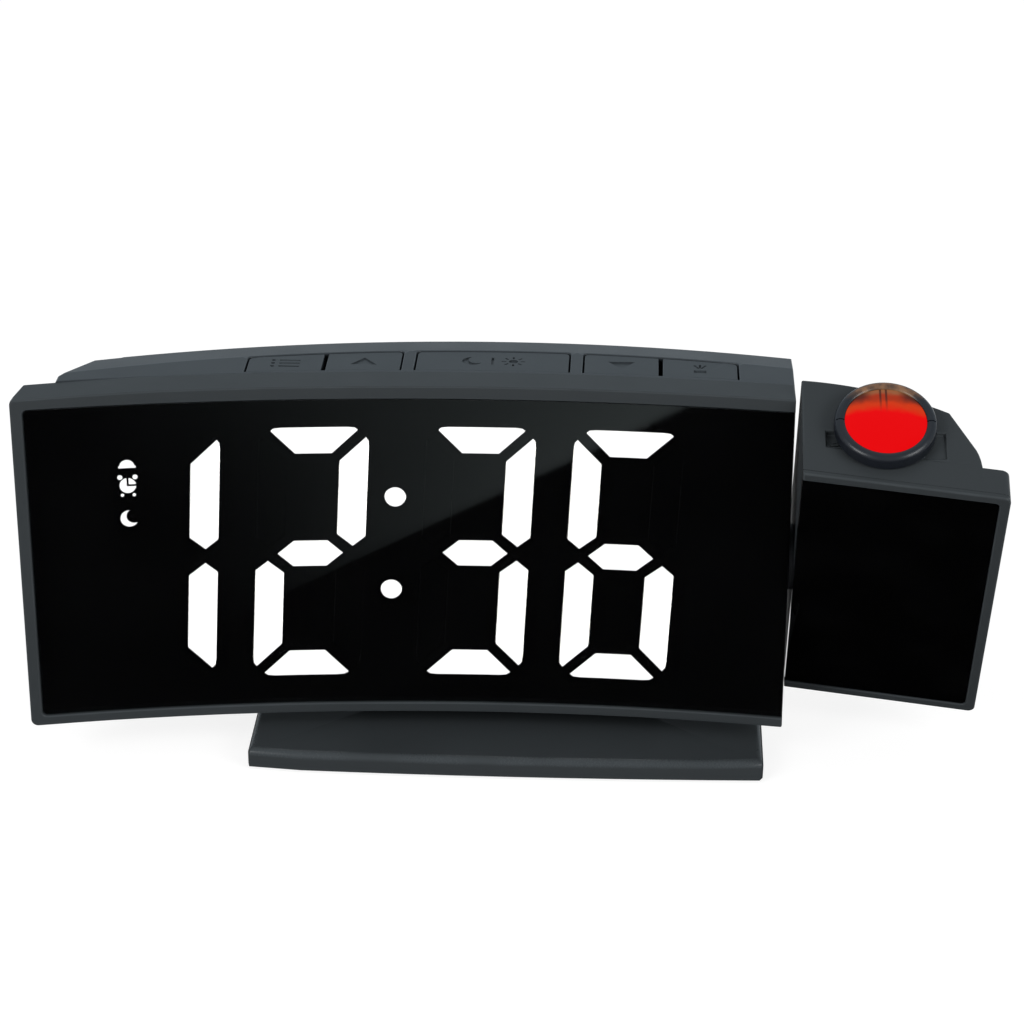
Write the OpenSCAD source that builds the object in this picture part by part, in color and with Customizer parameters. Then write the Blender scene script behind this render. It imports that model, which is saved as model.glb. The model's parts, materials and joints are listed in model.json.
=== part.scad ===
// Projection alarm clock: a curved display clock on a low stand, with a
// projector head that swivels on its right end.
// X runs to the right, Y to the back and Z up, in millimetres.
// The origin is on the table, under the middle of the clock, in the plane
// of the swivel axis.

/* [Clock body] */
// Width from the left end to the right end of the projector head
clock_w = 188; // [182:1:196]
// Height of the front at its middle
body_h = 71; // [70:0.5:76]
// Height of the body's underside above the table
body_lift = 9; // [8:0.5:14]
// Depth at the middle, from the front curve to the back curve
body_d = 26.5; // [25:0.5:29]
// How far the front is hollowed, from its ends to its middle
front_hollow = 10.4; // [8:0.1:11]
// How far the back bulges, from its ends to its middle
back_bulge = 18.35; // [16:0.05:18.7]
// How much lower the top is at the ends than at the middle
top_crown = 1; // [0.6:0.1:1.4]
// Thickness of the casing walls
wall = 2; // [1.6:0.1:2.2]
// Radius of the outer corners, seen from the front
corner_r = 1.5; // [1:0.25:3]

/* [Front bezel] */
// Depth of the bezel from front to back
bezel_d = 7.75; // [7:0.25:8]
// Height of the bezel above the window
bezel_top = 3.3; // [2.6:0.1:3.6]
// Height of the bezel below the window
bezel_bottom = 2.2; // [1.8:0.1:2.8]
// Width of the bezel left of the window
bezel_left = 2.4; // [1.8:0.1:3.2]
// Width of the ledge that the window and its mask rest on
ledge_w = 1.2; // [0.8:0.1:1.6]
// Angle at which the left end turns inwards
bezel_draft = 9; // [6:1:16]
// Depth of the left end before it turns inwards
bezel_land = 0.4; // [0.3:0.1:1]

/* [Display] */
// Thickness of the smoked window
window_t = 2; // [1.6:0.1:2.2]
// How far the window sits behind the bezel's front
window_set = 0.4; // [0.2:0.1:0.6]
// Thickness of the black mask behind the window
mask_t = 0.4; // [0.3:0.05:0.5]
// Thickness of a segment lens
lens_plate_t = 1.2; // [1:0.1:1.6]
// Space between the window's bottom edge and the digits
digits_low = 5; // [4.2:0.1:8]
// Space between the digits and the window's top edge
digits_high = 6.6; // [5.4:0.1:8]
// Space between the window's left edge and the first digit
digits_left = 13.6; // [12.6:0.1:16]
// Space between the last digit and the window's right edge
digits_right = 22; // [21:0.1:25]
// Space between the two digits of a pair
digit_gap = 7.3; // [5:0.1:8]
// Space between the inner digits, across the colon
colon_gap = 11; // [9:0.1:12]
// Width of a segment's stroke
stroke_w = 5.6; // [4.5:0.1:6]
// Gap between two mitred segment ends, along X
segment_gap = 3.1; // [2:0.1:4]
// Lean of the digits to the right
digit_lean = 3; // [0:0.5:6]
// Radius of a colon dot
colon_r = 2.1; // [1.6:0.1:2.6]
// Distance between the two colon dots
colon_h = 20; // [16:0.5:24]
// Width of the symbols
symbol_w = 4; // [3:0.1:4.4]
// Distance of the symbols' middle from the window's left edge
symbols_left = 18.3; // [17.5:0.1:18.6]

/* [Rear housing] */
// How much lower than the bezel's middle the housing's top is
housing_drop = 0.6; // [0.4:0.1:1]
// Width of the sloping strip along the top's back edge
strip_w = 7.6; // [6.5:0.1:8]
// Drop of that strip
strip_drop = 1.1; // [0.6:0.1:1.6]
// How far the housing's left end sits inside the bezel's
housing_inset = 7.2; // [6:0.2:8]
// Angle at which the left end slants inwards
end_slant = 25; // [22:1:30]
// Bevel along the back's bottom edge
bottom_bevel = 2; // [1:0.25:3]
// Radius of a screw post
post_r = 2.8; // [2.5:0.1:3]
// Radius of a casing screw's shank
screw_r = 1.25; // [1:0.05:1.4]
// Radius of a casing screw's head
screw_head_r = 2.3; // [2:0.1:2.4]
// Height of a casing screw's head
screw_head_h = 1.6; // [1.2:0.1:2]
// Depth at which a casing screw's head sits
screw_sink = 2.6; // [2:0.1:3]

/* [Keys] */
// Distance of the first key from the clock's left end
keys_left = 43; // [40:0.1:46]
// Distance of the last key from the body's right end
keys_right = 10.8; // [10:0.1:14]
// Gap between two keys that share a bay
key_gap = 0.8; // [0.5:0.1:0.9]
// Width of the housing between two bays
bay_gap = 3; // [2.6:0.1:5]
// Gap round a bay's keys
key_clear = 0.3; // [0.2:0.05:0.4]
// Height of the keys above the housing's top
key_proud = -0.15; // [-0.3:0.05:0.4]
// Travel of a key
key_travel = 0.9; // [0.5:0.05:1.1]
// Width of the housing's lip between the bezel and the keys
key_lip = 0.9; // [0.7:0.1:1.2]
// Thickness of the flange that holds a key in
flange_t = 1; // [0.8:0.1:1.2]
// How far that flange reaches past the key
flange_w = 0.8; // [0.6:0.1:0.9]
// Radius of a key's plunger
plunger_r = 1.7; // [1.4:0.1:1.9]
// Width of a key switch
switch_w = 5; // [4.6:0.1:5]
// Height of a key switch
switch_h = 4.4; // [4.2:0.1:4.8]
// Thickness of the circuit boards
board_t = 1.6; // [1.2:0.1:1.6]
// Thickness of the shelves under the boards
shelf_t = 1.5; // [1.2:0.1:1.8]
// Depth of the symbols cut into the keys
engrave_d = 0.3; // [0.2:0.05:0.5]

/* [Projector head] */
// Width of the head
head_w = 38.2; // [36.5:0.1:39]
// Angle of the head's flat front to the clock's width
head_yaw = 7.5; // [6:0.5:9]
// Forward tilt of the head at rest
head_tilt = 28; // [0:1:45]
// How much lower the head's top is than the bezel's middle
head_drop = 0.4; // [0.2:0.1:0.8]
// Depth of the head's front frame
frame_d = 6.8; // [6.4:0.1:7.2]
// Width of the frame round the panel
frame_w = 2.1; // [1.8:0.1:2.4]
// How far the panel sits behind the frame's front
panel_set = 0.3; // [0.2:0.1:0.5]
// Thickness of the gloss panel
panel_t = 2; // [1.6:0.1:2]
// How far the rear shell's right end sits inside the frame's
head_inset = 5; // [4:0.2:6]
// Angle at which the rear shell's right end slants inwards
head_slant = 28; // [24:1:30]
// How far the rear shell reaches behind the swivel axis
head_back = 14.9; // [14.5:0.1:15.5]
// Radius of the rear shell's back, seen from above
head_back_r = 75; // [70:1:80]
// Depth of the shallow recesses beside the focus ring
recess_d = 0.5; // [0.3:0.1:0.8]

/* [Swivel] */
// Gap between the clock body and the head
swivel_gap = 1; // [0.6:0.1:1.5]
// Distance of the swivel axis behind the middle of the front
swivel_back = 4.3; // [4.2:0.1:5]
// Height of the swivel axis above the body's underside
swivel_h = 34; // [33:0.5:36]
// Radius of the hollow shaft
shaft_r = 2.8; // [2.6:0.05:3]
// Radius of the hole through the shaft
shaft_hole_r = 1.6; // [1.2:0.1:1.8]
// Length of the shaft inside the clock body
shaft_l = 6.7; // [6.5:0.1:7.5]
// Length of the bush
bush_l = 4.5; // [4:0.1:4.6]
// Wall of the bush
bush_wall = 1.15; // [0.9:0.05:1.2]
// Radial clearance of the running fits
running_clear = 0.05; // [0.03:0.01:0.08]
// Radius of the shaft's flange
shaft_flange_r = 5.4; // [4.8:0.1:5.4]
// Thickness of the shaft's flange
shaft_flange_t = 1.2; // [1:0.1:1.6]
// Radius of the spacer between body and head
spacer_r = 6.5; // [5:0.1:8]
// Thickness of the friction washer
washer_t = 0.6; // [0.4:0.1:0.7]
// Thickness of the retaining ring
clip_t = 0.8; // [0.6:0.1:0.9]
// Depth of the shaft's groove for the ring
groove_d = 0.4; // [0.3:0.05:0.5]
// Radius of the cable through the shaft
cable_r = 1.1; // [0.8:0.1:1.15]

/* [Projector optics] */
// Distance of the lens axis from the head's left face
lens_set = 15.4; // [15:0.1:15.8]
// Distance of the lens axis behind the swivel axis
lens_back = 2.9; // [2.5:0.1:3.1]
// Outer radius of the focus ring
ring_r = 9.6; // [9.2:0.1:9.8]
// Height of the focus ring
ring_h = 3; // [2.6:0.1:3.4]
// Gap under the focus ring
ring_clear = 0.15; // [0.1:0.05:0.3]
// Radius of the opening in the focus ring
ring_hole_r = 7.8; // [7.6:0.1:8]
// Outer radius of the fixed lens tube
tube_r = 7; // [6.8:0.1:7.1]
// Wall of the lens tube
tube_wall = 0.8; // [0.7:0.1:0.9]
// How far the lens tube stands above the head
tube_proud = 1.3; // [1:0.1:1.6]
// Length of the lens tube
tube_l = 27; // [24:0.5:28]
// Length of the sliding lens cell
cell_l = 9; // [8:0.5:12]
// Thickness of the lens cell's rim
rim_t = 0.5; // [0.4:0.1:0.6]
// Height of the lens's dome
dome_h = 0.8; // [0.5:0.1:1]
// Focus travel each way
focus_travel = 0.6; // [0.3:0.05:0.65]
// Outer radius of the optics housing
optics_r = 6.9; // [6.7:0.1:7]
// Length of the optics housing
optics_l = 21; // [20:0.5:22]

/* [Stand] */
// Width of the stand
stand_w = 102.6; // [96:0.2:106]
// Depth of the stand
stand_d = 40; // [36:0.5:46]
// Distance of the stand's front corners ahead of the swivel axis
stand_front = 14.4; // [12:0.2:16]
// Height of the stand's top above the table
stand_h = 4.5; // [4:0.1:5.5]
// How far the stand's front bows out
stand_bow = 1; // [0.6:0.1:2]
// Radius of the stand's corners
stand_corner_r = 3; // [2:0.25:5]
// Width of the neck between stand and body
neck_w = 60; // [50:1:70]
// Radius of a rubber foot
foot_r = 5; // [4:0.25:6]
// How far the feet stand out below the stand
foot_proud = 0.6; // [0.4:0.1:1]
// Depth of the feet's seats
foot_seat = 0.8; // [0.6:0.1:1.2]
// Distance between the two stand screws
stand_screw_pitch = 36; // [30:1:44]
// Radius of a stand screw's head
stand_head_r = 2.9; // [2.5:0.1:3]
// Height of a stand screw's head
stand_head_h = 1.6; // [1.2:0.1:1.8]

/* [Backup battery] */
// Radius of the coin cell
cell_r = 10; // [9.5:0.1:10.2]
// Thickness of the coin cell
cell_t = 3.2; // [2.8:0.1:3.4]
// Radius of the battery cap
cap_r = 13; // [12.6:0.1:13.4]
// Thickness of the battery cap
cap_t = 2.3; // [2:0.1:2.4]
// Space between the cap's ring and the key board's shelf
cap_space = 4; // [1:0.5:5]
// How far the cap sits behind the back's outermost point
cap_sink = 0.6; // [0.5:0.1:0.8]

/* [Sound and power] */
// Radius of the speaker
speaker_r = 8; // [7:0.25:8.5]
// Thickness of the speaker's frame
speaker_t = 3; // [2.4:0.1:3.2]
// Distance of the speaker's middle from the clock's left end
speaker_left = 32; // [31:0.5:32.5]
// Number of sound slots
slot_count = 5; // [3:2:7]
// Width of a sound slot
slot_w = 1.2; // [0.8:0.1:1.4]
// Length of a sound slot
slot_l = 10; // [6:0.5:12]
// Distance between sound slots
slot_pitch = 2.4; // [2:0.1:2.6]
// Distance of the power inlet's middle from the clock's left end
jack_left = 52; // [50:0.5:54]
// Height of the power inlet above the body's underside
jack_h = 9.5; // [9:0.5:12]
// Width of the power inlet
jack_w = 9; // [8:0.5:9.5]
// Radius of the power inlet's hole
jack_hole_r = 3.2; // [2.8:0.1:3.4]
// Radius of the power inlet's pin
jack_pin_r = 1; // [0.8:0.1:1.1]
// Thickness of the power inlet's bottom, behind its hole
jack_bottom = 0.5; // [0.4:0.1:1]

/* [Hidden] */

$fn = 64;
drum_fn = 1080;
bow_fn = 2880;
eps = 0.01;
far = 60;

// Fits
seat_clear = 0.15;
screw_clear = 0.05;
piece_gap = 0.3;
lens_margin = 0.1;
well_margin = 0.6;

// Main places of the casing
left_x = -clock_w / 2;
right_x = clock_w / 2;
head_x = right_x - head_w;
cut_x = head_x - swivel_gap;
face_y = -swivel_back;
back_y = face_y + body_d;
top_z = body_lift + body_h;
swivel_z = body_lift + swivel_h;
housing_top = top_z - housing_drop;
housing_bottom = body_lift + housing_drop;
head_top = top_z - head_drop;
crown_flats = 12;
housing_turn_y = -2.5;
front_r = arc_r(clock_w / 2, front_hollow);
back_r = arc_r(clock_w / 2, back_bulge);

// Radius of an arc from half its width and its rise
function arc_r(half, rise) = (half * half + rise * rise) / (2 * rise);

function face_at(x) = face_y - (front_r - sqrt(front_r * front_r - x * x));
function back_at(x) = back_y - (back_r - sqrt(back_r * back_r - x * x));
function inner_back_at(x) = back_y - (back_r - sqrt(pow(back_r - wall, 2) - x * x));

// Window, mask and what lies behind them
seat_d = window_set + window_t + mask_t;
pane_x = left_x + bezel_left;
pane_z0 = body_lift + bezel_bottom;
pane_z1 = top_z - bezel_top;
pane_r = 1;
digit_h = pane_z1 - pane_z0 - digits_low - digits_high;
digit_w = (cut_x - pane_x - digits_left - digits_right - 2 * digit_gap - colon_gap) / 4;
digit_pitch = digit_w + digit_gap;
colon_pitch = digit_w + colon_gap;
display_x = pane_x + digits_left + 2 * digit_w + digit_gap + colon_gap / 2;
display_z = pane_z0 + digits_low + digit_h / 2;
digits_top = display_z + digit_h / 2;
symbol_x = pane_x + symbols_left;

// Display module
module_side = 0.8;
module_low = 1.5;
module_high = 1.8;
module_x0 = display_x - colon_pitch / 2 - digit_pitch;
module_x1 = display_x + colon_pitch / 2 + digit_pitch + digit_w / 2 + module_side;
module_z0 = display_z - digit_h / 2 - module_low;
module_z1 = digits_top + module_high;
module_y = 2.2;
wing_drop = 3.1;
wing_h = 20;
wing_x = symbol_x - symbol_w - module_low;
wing_z1 = digits_top - wing_drop;
wing_z0 = wing_z1 - wing_h;
led_w = 1.6;
led_t = 0.8;

// Screw posts of the clock body
post_left = 20;
post_right = 7.5;
post_x = [left_x + post_left, cut_x - post_right];
post_z = [pane_z0 + ledge_w + post_r, pane_z1 - ledge_w - post_r];

// Keys
bay_w = (cut_x - left_x - keys_left - keys_right - 2 * bay_gap) / 3;
key_w = (bay_w - key_gap) / 2;
bay_pitch = bay_w + bay_gap;
key_x = left_x + keys_left + 1.5 * bay_w + bay_gap;
flange_clear = 0.2;
flange_top = housing_top - wall - flange_clear;
flange_z = flange_top - flange_t;
key_top = housing_top + key_proud;
key_set = 1;
plunger_l = 4.2;
plunger_dip = 0.4;
switch_top = flange_z - plunger_l;
switch_z = switch_top - switch_h;
switch_hole_d = 2.2;
key_board_z = switch_z - board_t;
key_board_side = 5;
shelf_side = 8;
key_depth = bezel_d + key_lip;
mode_x = key_x - bay_pitch - (key_w + key_gap) / 2;
up_x = key_x - bay_pitch + (key_w + key_gap) / 2;
down_x = key_x + bay_pitch - (key_w + key_gap) / 2;
projector_x = key_x + bay_pitch + (key_w + key_gap) / 2;
key_places = [mode_x, up_x, key_x, down_x, projector_x];
function key_mid(x) = (face_at(x) + key_depth + back_at(x) - strip_w) / 2;
function plunger_y(x) = key_mid(x) + key_set;

// Main board, under the key board, and what stands on it
main_gap = 1.2;
main_edge = 1.4;
main_left = 44;
main_right = 13;
main_y = module_y + board_t + main_gap;
main_back = main_y + board_t;
main_x0 = left_x + main_left;
main_x1 = cut_x - main_right;
main_z0 = housing_bottom + wall + main_edge;
main_z1 = key_board_z - shelf_t;
pillar_r = 2.4;
pillar_screw_r = 1;
pillar_screw_l = 4;
pillar_in = 6;
pillar_drop = 5.5;
pillar_right_x = main_x1 - pillar_in - 2;
pillar_places = [[main_x0 + pillar_in, main_z1 - pillar_drop],
                 [pillar_right_x, main_z1 - pillar_drop],
                 [pillar_right_x, main_z0 + pillar_drop - 0.5]];
chip_w = 12;
chip_t = 1.4;
chip_x = -26;
chip_z = main_z1 - pillar_drop - 17;
driver_w = 7;
driver_h = 5;
driver_t = 1.2;
driver_x = pillar_right_x - 18;
driver_z = main_z0 + 11;
capacitor_r = 2.5;
capacitor_h = 6;
capacitor_pitch = 6;
crystal_r = 1.6;
crystal_h = 5;
crystal_x = driver_x + driver_w + 1;
crystal_z = main_z1 - pillar_drop - 9;
regulator_x = chip_x - 10;
regulator_w = 4;
regulator_h = 8;
regulator_t = 2;
header_w = 24;
header_h = 3;
header_z = main_z1 - pillar_drop - header_h;
plug_w = 4.8;
plug_h = 7;
plug_y = -2.2;

// Projector head
head_face_y = face_at(head_x);
head_z0 = body_lift;
panel_x = right_x - frame_w;
panel_z0 = head_z0 + frame_w;
panel_z1 = head_top - frame_w;
panel_d = panel_set + panel_t;
head_post_in = 12.5;
head_back_x = head_x - 5;
head_turn_y = -3;
shell_lift = 0.4;
head_post_x = [head_x + wall + post_r, right_x - head_post_in];
head_post_z = [panel_z0 + ledge_w + post_r, panel_z1 - ledge_w - post_r];
function head_face_at(x) = head_face_y - (x - head_x) * tan(head_yaw);
function head_back_at(x) =
    head_back - (head_back_r - sqrt(head_back_r * head_back_r - pow(x - head_back_x, 2)));

// Swivel
bush_r = shaft_r + running_clear + bush_wall;
bush_x = cut_x - bush_l;
washer_x = bush_x - washer_t;
clip_x = washer_x - clip_t;
shaft_end_x = cut_x - shaft_l;
cable_in = 5;
cable_x = head_x + cable_in;

// Projector optics, before the head is tilted
lens_x = head_x + lens_set;
lens_y = lens_back;
ring_z = head_top + ring_clear;
tube_top = head_top + tube_proud;
tube_z = tube_top - tube_l;
tube_hole_r = tube_r - tube_wall;
ring_step_z = tube_top + 0.1;
rim_z = ring_step_z + focus_travel + 0.1;
lens_z = rim_z + rim_t;
cell_z = rim_z - cell_l;
cell_outer_r = tube_hole_r - running_clear;
cell_inner_r = cell_outer_r - 1;
lens_r = ring_hole_r - 0.2;
optics_z = tube_z - optics_l;
optics_hole_r = optics_r - 0.9;
led_board_z = optics_z - board_t;
slide_drop = 4;
slide_w = 8.2;
slide_t = 1.1;
lcd_z = tube_z - slide_drop;
condenser_h = 9;
condenser_t = 1.4;
condenser_z = optics_z + condenser_h;
stop_r = 4.6;
led_board_w = 17.2;
led_board_y0 = lens_y - 8;
led_board_y1 = lens_y + 3.6;
led_shelf_y = lens_y + 2;
led_r = 2.5;
led_h = 4.5;
recess_left = 11;
recess_right = 11.2;

// Stand
stand_bottom = foot_proud;
stand_back = stand_d - stand_front;
stand_bow_r = pow(stand_w / 2, 2) / (2 * stand_bow);
neck_gap = 1;
neck_d = 13;
neck_y0 = face_y + bezel_d + neck_gap;
neck_y1 = neck_y0 + neck_d;
stand_screw_y = (neck_y0 + neck_y1) / 2;
stand_screw_grip = 5;
stand_screw_top = housing_bottom + wall + stand_screw_grip;
stand_post_r = 3.2;
foot_side = 3;
foot_edge = 2;
foot_x = stand_w / 2 - foot_r - foot_side;
foot_y = [-stand_front + foot_r + foot_edge, stand_back - foot_r - foot_edge];

// Backup battery
lug_reach = 1.1;
lug_r = cap_r + lug_reach;
cap_ring_r = lug_r + 2.4;
cap_z = key_board_z - shelf_t - cap_space - cap_ring_r;
cap_y1 = back_y - cap_sink;
cap_y0 = cap_y1 - cap_t;
lug_y0 = cap_y0 + 0.2;
lug_t = 1;
cell_y1 = cap_y0 - 0.2;
cell_y0 = cell_y1 - cell_t;
contact_gap = 0.7;
contact_x = 5;
contact_r = 7;
contact_y = cell_y0 - contact_gap;
cup_y = contact_y - 1;
cup_r = cell_r + 2;

// Sound and power
speaker_x = left_x + speaker_left;
speaker_z = cap_z;
speaker_rim = 1.2;
speaker_y1 = inner_back_at(speaker_x - speaker_r) - 0.1;
speaker_y = speaker_y1 - speaker_t;
magnet_y = module_y + board_t + 0.4;
jack_x = left_x + jack_left;
jack_z = body_lift + jack_h;
jack_y0 = main_back;
capacitor_x = jack_x + jack_w / 2 + capacitor_r + 3;
capacitor_z = jack_z + 1.5;
jack_y1 = inner_back_at(jack_x - jack_w / 2) - 0.2;

CASING = "#43484d";
CASING_REAR = "#565d63";
KEY = "#4f5458";
GLOSS = "#0b0c0d";
WHITE = "#f4f6f5";
BOARD = "#1d5a38";
STEEL = "#a9adb0";
BRASS = "#b8964a";
RED = "#d8121b";
BLACK = "#1b1c1e";
RUBBER = "#26272a";

// ---------------------------------------------------------------- helpers

module slab(x0, x1, y0, y1, z0, z1) {
    translate([x0, y0, z0]) cube([x1 - x0, y1 - y0, z1 - z0]);
}

module y_rod(x, z, y0, y1, r) {
    translate([x, y0, z]) rotate([-90, 0, 0]) cylinder(r = r, h = y1 - y0);
}

module x_rod(y, z, x0, x1, r) {
    translate([x0, y, z]) rotate([0, 90, 0]) cylinder(r = r, h = x1 - x0);
}

module z_rod(x, y, z0, z1, r) {
    translate([x, y, z0]) cylinder(r = r, h = z1 - z0);
}

// A cylinder whose wall is the front curve, moved back by depth
module front_drum(depth, z0, z1) {
    translate([0, face_y - front_r, z0])
        cylinder(r = front_r + depth, h = z1 - z0, $fn = drum_fn);
}

// A cylinder whose wall is the back curve, moved in by inset
module back_drum(inset, z0, z1) {
    translate([0, back_y - back_r, z0])
        cylinder(r = back_r - inset, h = z1 - z0, $fn = drum_fn);
}

// A plate that follows the front curve between two depths
module curved_plate(x0, x1, depth0, depth1, z0, z1) {
    intersection() {
        slab(x0, x1, face_y - far / 2, back_y, z0, z1);
        difference() {
            front_drum(depth1, z0, z1);
            front_drum(depth0, z0 - 1, z1 + 1);
        }
    }
}

// The space between the front curve moved back and the back curve moved in
module between(depth, inset, x0, x1, z0, z1) {
    intersection() {
        slab(x0, x1, face_y - far / 2, back_y + 1, z0, z1);
        difference() {
            back_drum(inset, z0, z1);
            front_drum(depth, z0 - 1, z1 + 1);
        }
    }
}

// The slightly domed space under the bezel's top, in flats that follow the dome
module crown() {
    upright(-far, far) polygon(concat(
        [for (i = [0:crown_flats])
            let (x = left_x + i * (cut_x - left_x) / crown_flats)
            [x, top_z - top_crown * pow(2 * x / clock_w, 2)]],
        [[cut_x, 0], [left_x, 0]]
    ));
}

// A block along Y whose two corners at x0 are rounded, seen from the front
module rounded_end(x0, x1, z0, z1, r) {
    side = x1 > x0 ? 1 : -1;
    xr = x0 + side * r;
    slab(min(xr, x1), max(xr, x1), -far, far, z0, z1);
    slab(min(x0, xr), max(x0, xr), -far, far, z0 + r, z1 - r);
    for (z = [z0 + r, z1 - r]) y_rod(xr, z, -far, far, r);
}

// A block whose end at x0 slants inwards behind y_turn, seen from above
module slanted_end(x0, x1, y_turn, slant, z0, z1) {
    side = x1 > x0 ? 1 : -1;
    slant_x = x0 + side * (far - y_turn) * tan(slant);
    translate([0, 0, z0]) linear_extrude(height = z1 - z0)
        polygon([[x0, -far], [x1, -far], [x1, far], [slant_x, far], [x0, y_turn]]);
}

// A slab with four rounded corners, seen from above
module rounded_slab(x0, x1, y0, y1, z0, z1, r) {
    slab(x0 + r, x1 - r, y0, y1, z0, z1);
    slab(x0, x1, y0 + r, y1 - r, z0, z1);
    for (x = [x0 + r, x1 - r], y = [y0 + r, y1 - r]) z_rod(x, y, z0, z1, r);
}

// A flat outline drawn in X and Z, made a block along Y
module upright(y0, y1) {
    translate([0, y1, 0]) rotate([90, 0, 0]) linear_extrude(height = y1 - y0) children();
}

// Tilts the head forward about the swivel axis
module head_pose() {
    translate([0, 0, swivel_z]) rotate([head_tilt, 0, 0]) translate([0, 0, -swivel_z])
        children();
}

// A flat plate that follows the head's front between two depths
module head_plate(x0, x1, depth0, depth1, z0, z1) {
    intersection() {
        slab(x0, x1, -far, far, z0, z1);
        translate([head_x, head_face_y, 0]) rotate([0, 0, -head_yaw])
            slab(-far, far, depth0, depth1, z0, z1);
    }
}

// A pan-head screw along Y whose head faces the back
module y_screw(x, z, y_head, y_tip, r, head_r, head_h) {
    difference() {
        union() {
            y_rod(x, z, y_tip, y_head + eps, r);
            y_rod(x, z, y_head, y_head + head_h, head_r);
        }
        for (a = [0, 90])
            translate([x, y_head + head_h, z]) rotate([0, a, 0])
                cube([head_r * 1.1, head_h, 0.5], center = true);
    }
}

// ---------------------------------------------------------------- digits

// Outlines of the seven segments in a digit's own frame; margin shrinks them
function lean(points) = [for (p = points) [p[0] + p[1] * tan(digit_lean), p[1]]];
function flip_x(points) = [for (p = points) [-p[0], p[1]]];
function flip_z(points) = [for (p = points) [p[0], -p[1]]];

// A mitred, rounded segment end: pairs of the distances from the digit's corner
// along the segment and across it
function mitre(m) = let (
        g = segment_gap / 2 + m * (sqrt(2) - 1),
        cut = 0.65,
        run = 2.7
    ) [[g + run, 0], [g + 0.5 * run, 0.2 * cut], [g + cut, cut],
       [g + stroke_w - 2 * m, stroke_w - 2 * m]];

function top_half(m) =
    [for (p = mitre(m)) [digit_w / 2 - m - p[0], digit_h / 2 - m - p[1]]];

function top_bar(m) = concat(top_half(m), [for (i = [3:-1:0]) flip_x(top_half(m))[i]]);

function upright_bar(m) = let (
        w = digit_w / 2 - m,
        t = stroke_w - 2 * m,
        tip = 1.45 + m
    ) concat(
        [for (p = mitre(m)) [w - p[1], digit_h / 2 - m - p[0]]],
        [[w - t, tip + 0.47 * t], [w - 0.43 * t, tip], [w, tip + 0.36 * t]]
    );

function middle_bar(m) = let (
        t = stroke_w / 2 - m,
        tip = digit_w / 2 - 0.75 * stroke_w - 1.4 * m,
        c = tip - 1.13 * t
    ) [[tip, 0], [c, t], [-c, t], [-tip, 0], [-c, -t], [c, -t]];

function segment(i, m) =
    i == 0 ? top_bar(m) :
    i == 1 ? upright_bar(m) :
    i == 2 ? flip_z(upright_bar(m)) :
    i == 3 ? flip_z(top_bar(m)) :
    i == 4 ? flip_x(flip_z(upright_bar(m))) :
    i == 5 ? flip_x(upright_bar(m)) :
    middle_bar(m);

// Segments a to g that each digit has, and that it lights for 1, 2, 3 and 6
HAS = [[1, 2], [0, 1, 2, 3, 4, 5, 6], [0, 1, 2, 3, 4, 5, 6], [0, 1, 2, 3, 4, 5, 6]];
LIT = [[1, 2], [0, 1, 3, 4, 6], [0, 1, 2, 3, 6], [0, 2, 3, 4, 5, 6]];
digit_places = [for (side = [-1, 1], i = side < 0 ? [1, 0] : [0, 1])
    display_x + side * (colon_pitch / 2 + i * digit_pitch)];

function is_lit(digit, i) = len([for (s = LIT[digit]) if (s == i) s]) > 0;

colon_spots = [for (side = [-1, 1])
    [display_x + 2 * tan(digit_lean) + side * colon_h / 2 * tan(digit_lean),
     display_z + 2 + side * colon_h / 2]];

// The chosen segments as flat outlines in X and Z
module segments_flat(m, lit, dark) {
    for (d = [0:3], i = HAS[d])
        if (is_lit(d, i) ? lit : dark)
            translate([digit_places[d], display_z]) polygon(lean(segment(i, m)));
    if (lit)
        for (p = colon_spots) translate(p) circle(r = colon_r - m, $fn = 48);
}

// How far below the digits' top each symbol's middle is, and half its height
SYMBOLS = [[18.1, 0.5], [11.1, 0.62], [6.3, 0.36]];

// A crescent, an alarm clock and a bell as flat outlines in X and Z
module symbols_flat(m) {
    w = symbol_w;
    translate([symbol_x, digits_top - SYMBOLS[0][0]])
        difference() {
            circle(r = 0.44 * w - m, $fn = 32);
            translate([0.22 * w, 0.12 * w]) circle(r = 0.36 * w + m, $fn = 32);
        }
    translate([symbol_x, digits_top - SYMBOLS[1][0]]) {
        difference() {
            circle(r = 0.4 * w - m, $fn = 32);
            translate([-0.05 * w, -0.03 * w]) square([0.1 * w, w]);
            translate([-0.05 * w, -0.03 * w]) square([w, 0.1 * w]);
        }
        for (s = [-1, 1]) {
            translate([s * 0.36 * w, 0.44 * w]) circle(r = 0.13 * w - m, $fn = 16);
            translate([s * 0.28 * w, -0.5 * w]) circle(r = 0.09 * w - m, $fn = 16);
        }
    }
    translate([symbol_x, digits_top - SYMBOLS[2][0] - 0.2 * w]) {
        difference() {
            circle(r = 0.36 * w - m, $fn = 24);
            translate([-w, -w]) square([2 * w, w]);
        }
        translate([-0.42 * w + m, -0.08 * w + m]) square([0.84 * w - 2 * m, 0.12 * w]);
    }
}

// ---------------------------------------------------------------- clock body

module window_outline(grow) {
    rounded_end(pane_x - grow, cut_x + far, pane_z0 - grow, pane_z1 + grow, pane_r);
}

// A post along Y with a web to the nearer wall, for screws of either casing
module webbed_post(x, z, middle_z, z0, z1) {
    y_rod(x, z, -far, far, post_r);
    slab(x - post_r, x + post_r, -far, far, z < middle_z ? z0 : z, z < middle_z ? z : z1);
}

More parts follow.
